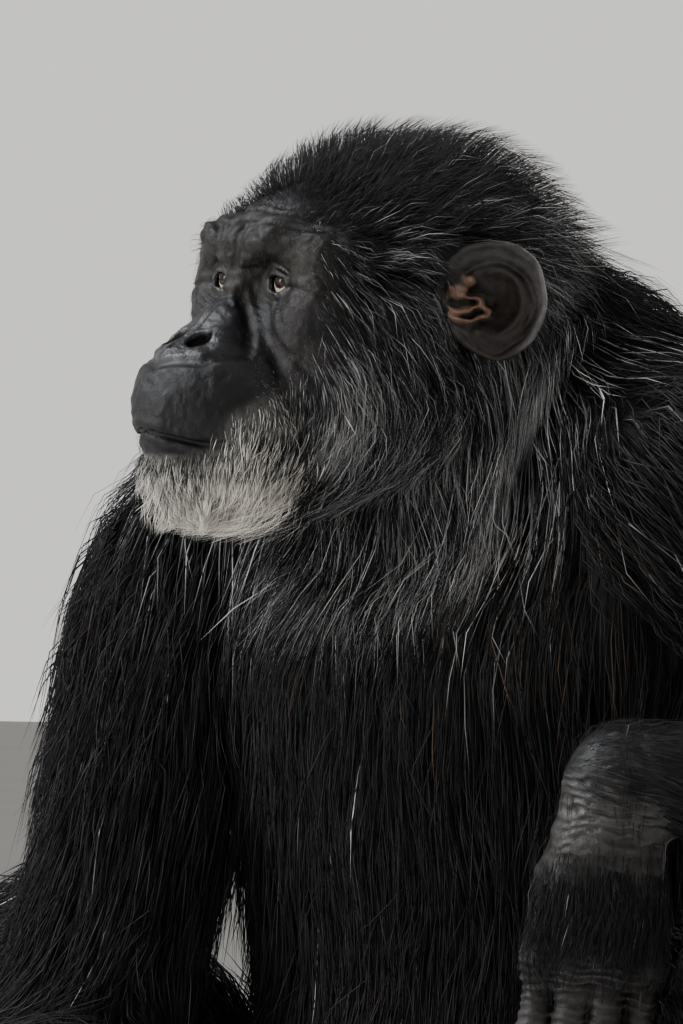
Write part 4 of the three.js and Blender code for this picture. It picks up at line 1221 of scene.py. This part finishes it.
def face_flow(p):
    """Short hairs on the bare face lie outwards and down from the eyes and nose."""
    h = to_head(p)
    up = smooth(30, 50, h[:, 2])
    way = np.stack((h[:, 0] * 0.012, -0.4 - 0.5 * up, -1 + 1.9 * up), 1)
    return unit(turn_from_head(unit(way)))


# Sizes of hairs at each root: how far they travel, how high they rise and how wide they are.
def crown_size(p, h):
    near = smooth(80, 20, h[:, 1])
    back = smooth(10, -60, h[:, 1])
    return 8 + 14 * near + 20 * back, 4 + 12 * near + 4 * back, 0.28 + 0.1 * near


def beard_size(p, h):
    near = smooth(130, 90, h[:, 1])
    low = smooth(-76, -92, h[:, 2])
    return (18 + 14 * near) * (0.6 + 0.4 * low), (17 - 3 * near) * (0.35 + 0.65 * low), 0.36 + 0.06 * near


def growing(share, small, more):
    """Small hairs where the share is 0, with so much more of each measure where it is 1."""
    def size(p, h):
        near = share(p, h)
        return tuple(least + extra * near for least, extra in zip(small, more))
    return size


def even(*measures):
    def size(p, h):
        return tuple(measure * np.ones(len(p)) for measure in measures)
    return size


cheek_size = growing(lambda p, h: smooth(84, 46, h[:, 1]), (9, 2.5, 0.28), (38, 9, 0.14))
face_size = growing(lambda p, h: smooth(92, 60, h[:, 1]), (3.5, 1.5, 0.22), (4, 1.5, 0.1))


def limb_size(side, arm):
    """Shorter and finer hairs near the wrist or ankle."""
    joint = J[f"{'wrist' if arm else 'ankle'}_{side}"]
    if arm:
        return growing(lambda p, h: smooth(15, 95, length(p - joint)), (30, 6, 0.42), (60, 16, 0.58))
    return growing(lambda p, h: smooth(10, 90, length(p - joint)), (24, 4, 0.7), (44, 12, 0.6))


def coat_regions(surface):
    """For each piece of coat: its name, how many hairs, how many rings along one, the weight of each face of
    the skin, their size and flow, how limp they hang, how they draw together, and the share that stray."""
    p, h = surface["centres"], surface["h"]
    head = label_mask(surface, "head_form")
    edge = coat_edge(h)
    thin_front = 1 - 0.55 * smooth(34, 56, h[:, 1]) * smooth(40, 60, h[:, 2])
    crown = head * edge * smooth(14, 34, h[:, 2]) * thin_front
    low_face = head * edge * smooth(34, 14, h[:, 2])
    beard = smooth(46, 62, h[:, 1]) * smooth(-56, -68, h[:, 2])
    trunk = label_mask(surface, "trunk")
    facing = smooth(-0.2, 0.3, -(p[:, 1] + 45) / 100)
    seat = smooth(6, 30, p[:, 2])
    short, long_fine = (0.4, 9), (0.5, 11)  # how far hairs draw together, and how many do
    regions = [
        ("coat_crown", 18000, 2, crown, crown_size, head_flow, 0.2, (0.6, 9), 0.36),
        ("coat_cheeks", 18000, 2, low_face * (1 - beard), cheek_size, head_flow, 0.3, short, 0.12),
        ("coat_beard", 10500, 2, head * edge * beard, beard_size, head_flow, 0.2, (0.4, 8), 0.16),
        ("coat_neck", 11500, 3, label_mask(surface, "neck"), even(84, 20, 0.46), neck_flow, 0.9, long_fine,
         0.08),
        ("coat_chest", 11500, 3, trunk * facing * seat, even(86, 19, 0.74), trunk_flow, 0.5, long_fine, 0.06),
        ("coat_back_high", 10500, 2, trunk * (1 - facing) * smooth(360, 420, p[:, 2]), even(80, 22, 1.2),
         trunk_flow, 0.4, long_fine, 0.08),
        ("coat_back_low", 6500, 2, trunk * (1 - facing) * smooth(420, 360, p[:, 2]) * seat, even(70, 17, 1.5),
         trunk_flow, 0.4, long_fine, 0.05),
    ]
    for side in SIDE_SIGN:
        arm = label_mask(surface, f"upper_arm_{side}", f"forearm_{side}")
        arm *= 1 + 1.5 * smooth(150, 60, length(p - J[f"shoulder_{side}"]))
        leg = label_mask(surface, f"thigh_{side}", f"lower_leg_{side}")
        regions.append((f"coat_arm_{side}", 11500, 2, arm, limb_size(side, True), limb_flow(side, True), 0.55,
                        long_fine, 0.06))
        regions.append((f"coat_leg_{side}", 5500, 2, leg * seat, limb_size(side, False),
                        limb_flow(side, False), 0.45, long_fine, 0.06))
        hand, foot = label_mask(surface, f"hand_{side}"), label_mask(surface, f"foot_{side}")
        away = -(p - J[f"wrist_{side}"]) @ HAND_POSES[side][1]
        reach = (p - J[f"wrist_{side}"]) @ HAND_POSES[side][0]
        ragged = reach + 9 * noise(p, 11, 47)
        hairy = smooth(-14, 0, away) * bump(ragged, 66, 27) ** 2 + 0.3 * smooth(16, -20, ragged)
        regions.append((f"coat_hand_{side}", 2500, 2, hand * hairy, even(26, 3.5, 0.4), end_flow(side, True),
                        0.4, short, 0.08))
        ahead = (p - J[f"ankle_{side}"]) @ FOOT_POSES[side][0]
        top = smooth(22, 40, p[:, 2]) * smooth(120, 80, ahead)
        regions.append((f"coat_foot_{side}", 1600, 2, foot * top, even(20, 4, 0.6), end_flow(side, False),
                        0.4, short, 0.08))
    off_eye = 1 - spot(mirrored(h), EYE + vec(0, 10, 0), (17, 30, 12))
    bare = head * (1 - edge) * smooth(112, 96, h[:, 1]) * off_eye
    bare = bare + head * 0.4 * thin_front * smooth(40, 60, h[:, 2])
    regions.append(("coat_face", 11000, 1, bare, face_size, face_flow, 0, (0.2, 6), 0.1))
    return regions


def hair_tints(p, h, draw):
    """Each hair's own colour: mostly black, with silver, brown and cream ones where the animal has them."""
    count = len(p)
    pick = draw.random(count)
    shade = np.exp(draw.normal(0, 0.35, count)).astype(np.float32)
    silver, cream = silver_share(p, h), cream_share(h)
    brown = 0.5 * spot(p, (110, -190, 560), (45, 50, 40)) + 0.02
    tint = np.where((pick < silver)[:, None], GREY + (SILVER - GREY) * draw.random((count, 1)), BLACK)
    tint = np.where((draw.random(count) < brown)[:, None], BROWN, tint)
    light = (draw.random(count) < cream)[:, None]
    tint = np.where(light, CREAM * draw.uniform(0.78, 1.02, (count, 1)), tint)
    return (tint * np.where(light, 1, shade[:, None])).astype(np.float32)


def over_ear(paths):
    """Which hairs cross the front of an ear."""
    hit = np.zeros(len(paths), bool)
    flat = paths.reshape(-1, 3)
    for side in SIDE_SIGN.values():
        facing = ear_axes(side)[0]
        out = (to_head(flat) - vec(side, 1, 1) * EAR_AT) @ facing
        place = ear_place(flat, side)
        over = (np.hypot(place[:, 0], place[:, 1]) < 0.97) & (place[:, 0] > -0.62) & (out > -17) & (out < 45)
        hit |= over.reshape(paths.shape[:2]).any(1)
    return hit


KNOTS = {1: [0, 6], 2: [0, 3, 6], 3: [0, 2, 4, 6]}
COAT_SEED = 20


def make_coat(surface, skin):
    made = []
    mesh = (surface["points"], surface["quads"], surface["areas"])
    for k, region in enumerate(coat_regions(surface)):
        name, count, rings, weight, size, flow, hang, (share, per), stray = region
        draw = np.random.default_rng(COAT_SEED + k)
        roots, faces = pick_roots(mesh, weight, count, draw)
        h = to_head(roots)
        travel, height, width = size(roots, h)
        vary = draw.uniform(0.7, 1.15, count)
        paths, normals = comb(skin, roots, flow, travel * vary, height, hang, draw, stray)
        paths = clump(paths, roots, share, per, draw)
        clear = ~over_ear(paths)
        paths, normals, roots, faces, width, h = (x[clear] for x in (paths, normals, roots, faces, width, h))
        widths = (width * draw.uniform(0.7, 1.25, len(width))).astype(np.float32)
        uv = unwrap(roots, surface["labels"][faces])
        hairs = blades(name, paths[:, KNOTS[rings]], normals, widths, hair_tints(roots, h, draw), uv, draw)
        made.append(hairs)
    return made


# Materials.
class Nodes:
    """The nodes of a material or a world, made by short calls."""

    def __init__(self, owner, shader="Principled BSDF"):
        owner.use_nodes = True
        self.owner = owner
        self.tree = owner.node_tree
        self.shader = self.tree.nodes[shader]

    def add(self, kind, inputs=(), **settings):
        node = self.tree.nodes.new(kind)
        for key, value in settings.items():
            setattr(node, key, value)
        for key, value in dict(inputs).items():
            self.put(node.inputs[key], value)
        return node

    def surface(self, name, value):
        """Sets an input of the shader to a node's output or a constant."""
        self.put(self.shader.inputs[name], value)

    def put(self, socket, value):
        if isinstance(value, bpy.types.NodeSocket):
            self.tree.links.new(value, socket)
        else:
            socket.default_value = value

    def attribute(self, name):
        return self.add("ShaderNodeAttribute", attribute_name=name)

    def noise(self, scale, detail=3, stretch=None):
        place = self.add("ShaderNodeTexCoord").outputs["Object"]
        if stretch:
            place = self.add("ShaderNodeMapping", {"Vector": place, "Scale": stretch}).outputs[0]
        node = self.add("ShaderNodeTexNoise", {"Vector": place, "Scale": scale, "Detail": detail})
        return node.outputs["Fac"]

    def math(self, operation, a, b):
        return self.add("ShaderNodeMath", {0: a, 1: b}, operation=operation).outputs[0]

    def span(self, value, lo, hi, to_lo, to_hi):
        ends = {"From Min": lo, "From Max": hi, "To Min": to_lo, "To Max": to_hi}
        return self.add("ShaderNodeMapRange", {"Value": value, **ends}).outputs["Result"]

    def shade(self, colour, value):
        """A colour made lighter or darker by a value."""
        node = self.add("ShaderNodeMix", {"Factor": 1.0, 6: colour}, data_type="RGBA", blend_type="MULTIPLY")
        grey = self.add("ShaderNodeCombineColor", {0: value, 1: value, 2: value})
        self.put(node.inputs[7], grey.outputs[0])
        return node.outputs[2]

    def bump(self, height, distance, strength=1.0, normal=None):
        node = self.add("ShaderNodeBump", {"Height": height, "Distance": distance, "Strength": strength})
        if normal:
            self.put(node.inputs["Normal"], normal)
        return node.outputs[0]


def skin_material():
    m = Nodes(bpy.data.materials.new("skin"))
    fine = m.noise(900, 4)
    coarse = m.noise(210, 3)
    place = m.add("ShaderNodeTexCoord").outputs["Object"]
    cells = m.add("ShaderNodeTexVoronoi", {"Vector": place, "Scale": 1100}, feature="DISTANCE_TO_EDGE")
    cells = cells.outputs["Distance"]
    colour = m.shade(m.attribute("tint").outputs["Color"], m.span(coarse, 0.3, 0.7, 0.7, 1.3))
    # painted shade: a little darker along the edges of the fine cells, where the bump sinks into grooves
    colour = m.shade(colour, m.span(cells, 0, 0.12, 0.9, 1.02))
    m.surface("Base Color", colour)
    wet = m.attribute("wet").outputs["Fac"]
    rough = m.math("SUBTRACT", m.span(fine, 0.3, 0.7, 0.40, 0.56), m.math("MULTIPLY", wet, 0.22))
    m.surface("Roughness", rough)
    cell_bump = m.bump(m.span(cells, 0, 0.15, 0, 1), 0.00007, 0.5)
    m.surface("Normal", m.bump(fine, 0.0004, 0.8, m.bump(coarse, 0.0007, 0.7, cell_bump)))
    m.surface("Specular IOR Level", m.span(wet, 0, 1, 0.27, 0.65))
    return m.owner


def coat_material():
    m = Nodes(bpy.data.materials.new("coat"))
    patchy = m.noise(60, 3)
    along = m.attribute("along").outputs["Fac"]
    # painted shade: each hair darker at its root, deep in the coat, and lighter towards its lit tip
    colour = m.shade(m.attribute("tint").outputs["Color"], m.span(along, 0, 1, 0.6, 1.25))
    m.surface("Base Color", m.shade(colour, m.span(patchy, 0.3, 0.7, 0.75, 1.3)))
    m.surface("Roughness", m.span(m.noise(700, 2), 0.3, 0.7, 0.48, 0.62))
    m.surface("Specular IOR Level", 0.24)
    return m.owner


def nail_material():
    m = Nodes(bpy.data.materials.new("nail"))
    ridges = m.noise(500, 2)
    m.surface("Base Color", m.shade((0.05, 0.042, 0.038, 1), m.span(ridges, 0.3, 0.7, 0.7, 1.5)))
    m.surface("Roughness", m.span(ridges, 0.3, 0.7, 0.25, 0.4))
    m.surface("Normal", m.bump(ridges, 0.0002))
    return m.owner


def ramp(m, value, stops):
    node = m.add("ShaderNodeValToRGB", {"Fac": value})
    elements = node.color_ramp.elements
    while len(elements) < len(stops):
        elements.new(0.5)
    for element, (at, colour) in zip(elements, stops):
        element.position = at
        element.color = (*colour, 1)
    return node.outputs["Color"]


def eye_material():
    m = Nodes(bpy.data.materials.new("eye"))
    ring = m.attribute("ring").outputs["Fac"]
    uneven = m.math("ADD", ring, m.span(m.noise(900, 3), 0.3, 0.7, -0.02, 0.02))
    stops = ((0.0, (0.003, 0.002, 0.002)), (0.10, (0.003, 0.002, 0.002)), (0.12, (0.012, 0.005, 0.002)),
             (0.22, (0.026, 0.011, 0.004)), (0.25, (0.02, 0.010, 0.005)), (0.27, (0.010, 0.006, 0.004)),
             (0.30, (0.60, 0.51, 0.41)), (1.0, (0.72, 0.64, 0.54)))
    m.surface("Base Color", ramp(m, uneven, stops))
    m.surface("Roughness", 0.06)
    m.surface("Specular IOR Level", 0.28)
    m.surface("Coat Weight", 0.12)
    m.surface("Coat Roughness", 0.02)
    return m.owner


def floor_material():
    m = Nodes(bpy.data.materials.new("floor"))
    patchy = m.span(m.noise(3, 4), 0.3, 0.7, 0.96, 1.03)
    m.surface("Base Color", m.shade((0.72, 0.71, 0.69, 1), patchy))
    m.surface("Roughness", 0.85)
    return m.owner


# Eyes: a ball with a raised cornea, looking up a little.
EYE_RINGS, EYE_SECTORS = 48, 64
CORNEA_EDGE = math.radians(33)


def make_eye(name, side):
    centre = vec(side * EYE[0], EYE[1], EYE[2])
    gaze = unit((side * 0.03 + 0.06, 1, 0.3))
    u = unit(np.cross(gaze, (0, 0, 1)))
    v = np.cross(u, gaze)
    tilt = np.linspace(0.02, math.pi - 0.02, EYE_RINGS)
    radius = EYE_R - 0.9 + 1.1 * smooth(CORNEA_EDGE, CORNEA_EDGE * 0.35, tilt)
    w = np.arange(EYE_SECTORS) * (2 * math.pi / EYE_SECTORS)
    flat = np.cos(w)[:, None] * u + np.sin(w)[:, None] * v
    rows = [centre + r * (math.cos(t) * gaze + math.sin(t) * flat) for t, r in zip(tilt, radius)]
    poles = [centre + radius[0] * gaze, centre - radius[-1] * gaze]
    points = np.concatenate(rows + [np.array(poles)])
    n = EYE_SECTORS
    i, k = np.meshgrid(np.arange(n), np.arange(EYE_RINGS - 1) * n)
    j = (i + 1) % n
    sides = np.stack((k + i, k + j, k + n + j, k + n + i), -1).reshape(-1, 4)
    triangles = np.concatenate((sides[:, [0, 1, 2]], sides[:, [0, 2, 3]]))
    edge = np.arange(n)
    first, last, base = n * EYE_RINGS, n * EYE_RINGS + 1, n * (EYE_RINGS - 1)
    caps = np.concatenate((np.stack((np.full(n, first), (edge + 1) % n, edge), 1),
                           np.stack((np.full(n, last), base + edge, base + (edge + 1) % n), 1)))
    made = new_object(name, from_head(points), np.concatenate((triangles, caps)))
    set_values(made, "ring", np.concatenate((np.repeat(tilt / math.pi * 2, n), (0, 2))) * 0.8)
    face_outward(made)
    return made


def face_outward(made):
    """Turns the faces of a closed mesh outward."""
    work = bmesh.new()
    work.from_mesh(made.data)
    bmesh.ops.recalc_face_normals(work, faces=work.faces)
    work.to_mesh(made.data)
    work.free()


# Nails: a curved plate on the back of each last bone.
NAIL_ROWS = 9  # points along and across a nail
NAIL_WIDE, NAIL_LONG, TOENAIL_LONG, NAIL_THICK = 6.2, 11, 10, 0.9


def nail_points(digit, long):
    points, down, radius = digit
    tip, before = points[-1], points[-2]
    along = unit(tip - before)
    back = unit(-(down - along * float(down @ along)))
    side = np.cross(along, back)
    base = tip - along * (long * 0.62)
    rows = []
    for level in (1.0, 0.0):
        for t in np.linspace(0, 1, NAIL_ROWS):
            narrow = 1 - 0.35 * (2 * t - 1) ** 4
            for s in np.linspace(-1, 1, NAIL_ROWS):
                turn = s * NAIL_WIDE * narrow / radius
                r = radius * 0.9 + NAIL_THICK * level + 0.25 - 0.5 * (1 - t) ** 3
                place = base + along * (long * t) + side * (math.sin(turn) * r)
                rows.append(place + back * (math.cos(turn) * r * 0.9))
    return np.array(rows)


def nail_faces():
    """Faces of the top, the underside and the edge between them."""
    n = NAIL_ROWS
    under = n * n
    faces = []
    for t in range(n - 1):
        for s in range(n - 1):
            a = t * n + s
            b = a + under
            faces.append((a, a + 1, a + n + 1, a + n))
            faces.append((b, b + n, b + n + 1, b + 1))
    edge = list(range(n)) + [t * n + n - 1 for t in range(1, n)]
    edge += [under - 1 - s for s in range(1, n)] + [n * (n - 1 - t) for t in range(1, n - 1)]
    for a, b in zip(edge, edge[1:] + edge[:1]):
        faces.append((a, a + under, b + under, b))
    return np.array(faces)


def make_nails():
    points = []
    for side in SIDE_SIGN:
        points += [nail_points(d, NAIL_LONG) for d in hand_parts(side)["digits"]]
        points += [nail_points(d, TOENAIL_LONG) for d in foot_parts(side)["digits"]]
    faces = nail_faces()
    every = np.concatenate([faces + len(one) * i for i, one in enumerate(points)])
    made = new_object("nails", np.concatenate(points), every)
    face_outward(made)
    return made


# Floor, lights and world.
LIGHTS = (  # name, place, size in metres, power in watts and colour
    ("sky", (-1.3, -1.2, 2.3), 1.2, 68, (0.93, 0.96, 1.0)),
    ("fill", (-1.5, -2.7, 0.8), 1.2, 50, (1.0, 0.97, 0.93)),
    ("back", (1.5, 1.1, 2.3), 1.3, 44, (1.0, 0.98, 0.95)),
)
LIT_PLACE = (0, -0.1, 0.5)


def add_area(name, place, size, power, colour):
    data = bpy.data.lights.new(name, "AREA")
    data.size = size
    data.energy = power
    data.color = colour
    lamp = bpy.data.objects.new(name, data)
    lamp.location = place
    lamp.rotation_euler = (Vector(LIT_PLACE) - Vector(place)).to_track_quat("-Z", "Y").to_euler()
    bpy.context.scene.collection.objects.link(lamp)


def make_studio():
    bpy.ops.mesh.primitive_plane_add(size=30)
    floor = bpy.context.object
    floor.name = "floor"
    floor.data.materials.append(floor_material())
    for light in LIGHTS:
        add_area(*light)
    make_world()


def make_world():
    """Pale walls all round, dimmer above and below."""
    m = Nodes(bpy.data.worlds.new("studio"), "Background")
    way = m.add("ShaderNodeTexCoord").outputs["Generated"]
    height = m.math("ABSOLUTE", m.add("ShaderNodeSeparateXYZ", {0: way}).outputs["Z"], 0)
    ends = {"From Min": 0.12, "From Max": 0.5, "To Min": 1.0, "To Max": 0.28}
    level = m.add("ShaderNodeMapRange", {"Value": height, **ends}, interpolation_type="SMOOTHSTEP")
    m.surface("Color", (0.95, 0.94, 0.91, 1))
    m.surface("Strength", level.outputs["Result"])
    bpy.context.scene.world = m.owner


# Everything together.
def dress(made, material, slot, *nodes):
    made.data.materials.append(material)
    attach(made, "root")
    if nodes:
        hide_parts(*nodes)


def build():
    pieces = skin_pieces()
    flesh = [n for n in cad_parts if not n.startswith("eye")]
    dress(make_skin(pieces), skin_material(), "skin", *flesh)
    eye = eye_material()
    for name, side in (("eye_left", 1), ("eye_right", -1)):
        dress(make_eye(f"{name}_ball", side), eye, "eye", name)
    dress(make_nails(), nail_material(), "skin")
    skin = Distances(whole_skin, (-350, -600, -30), (500, 220, 830))
    coat = coat_material()
    for hairs in make_coat(make_surface(pieces), skin):
        dress(hairs, coat, "coat")


build()
make_studio()
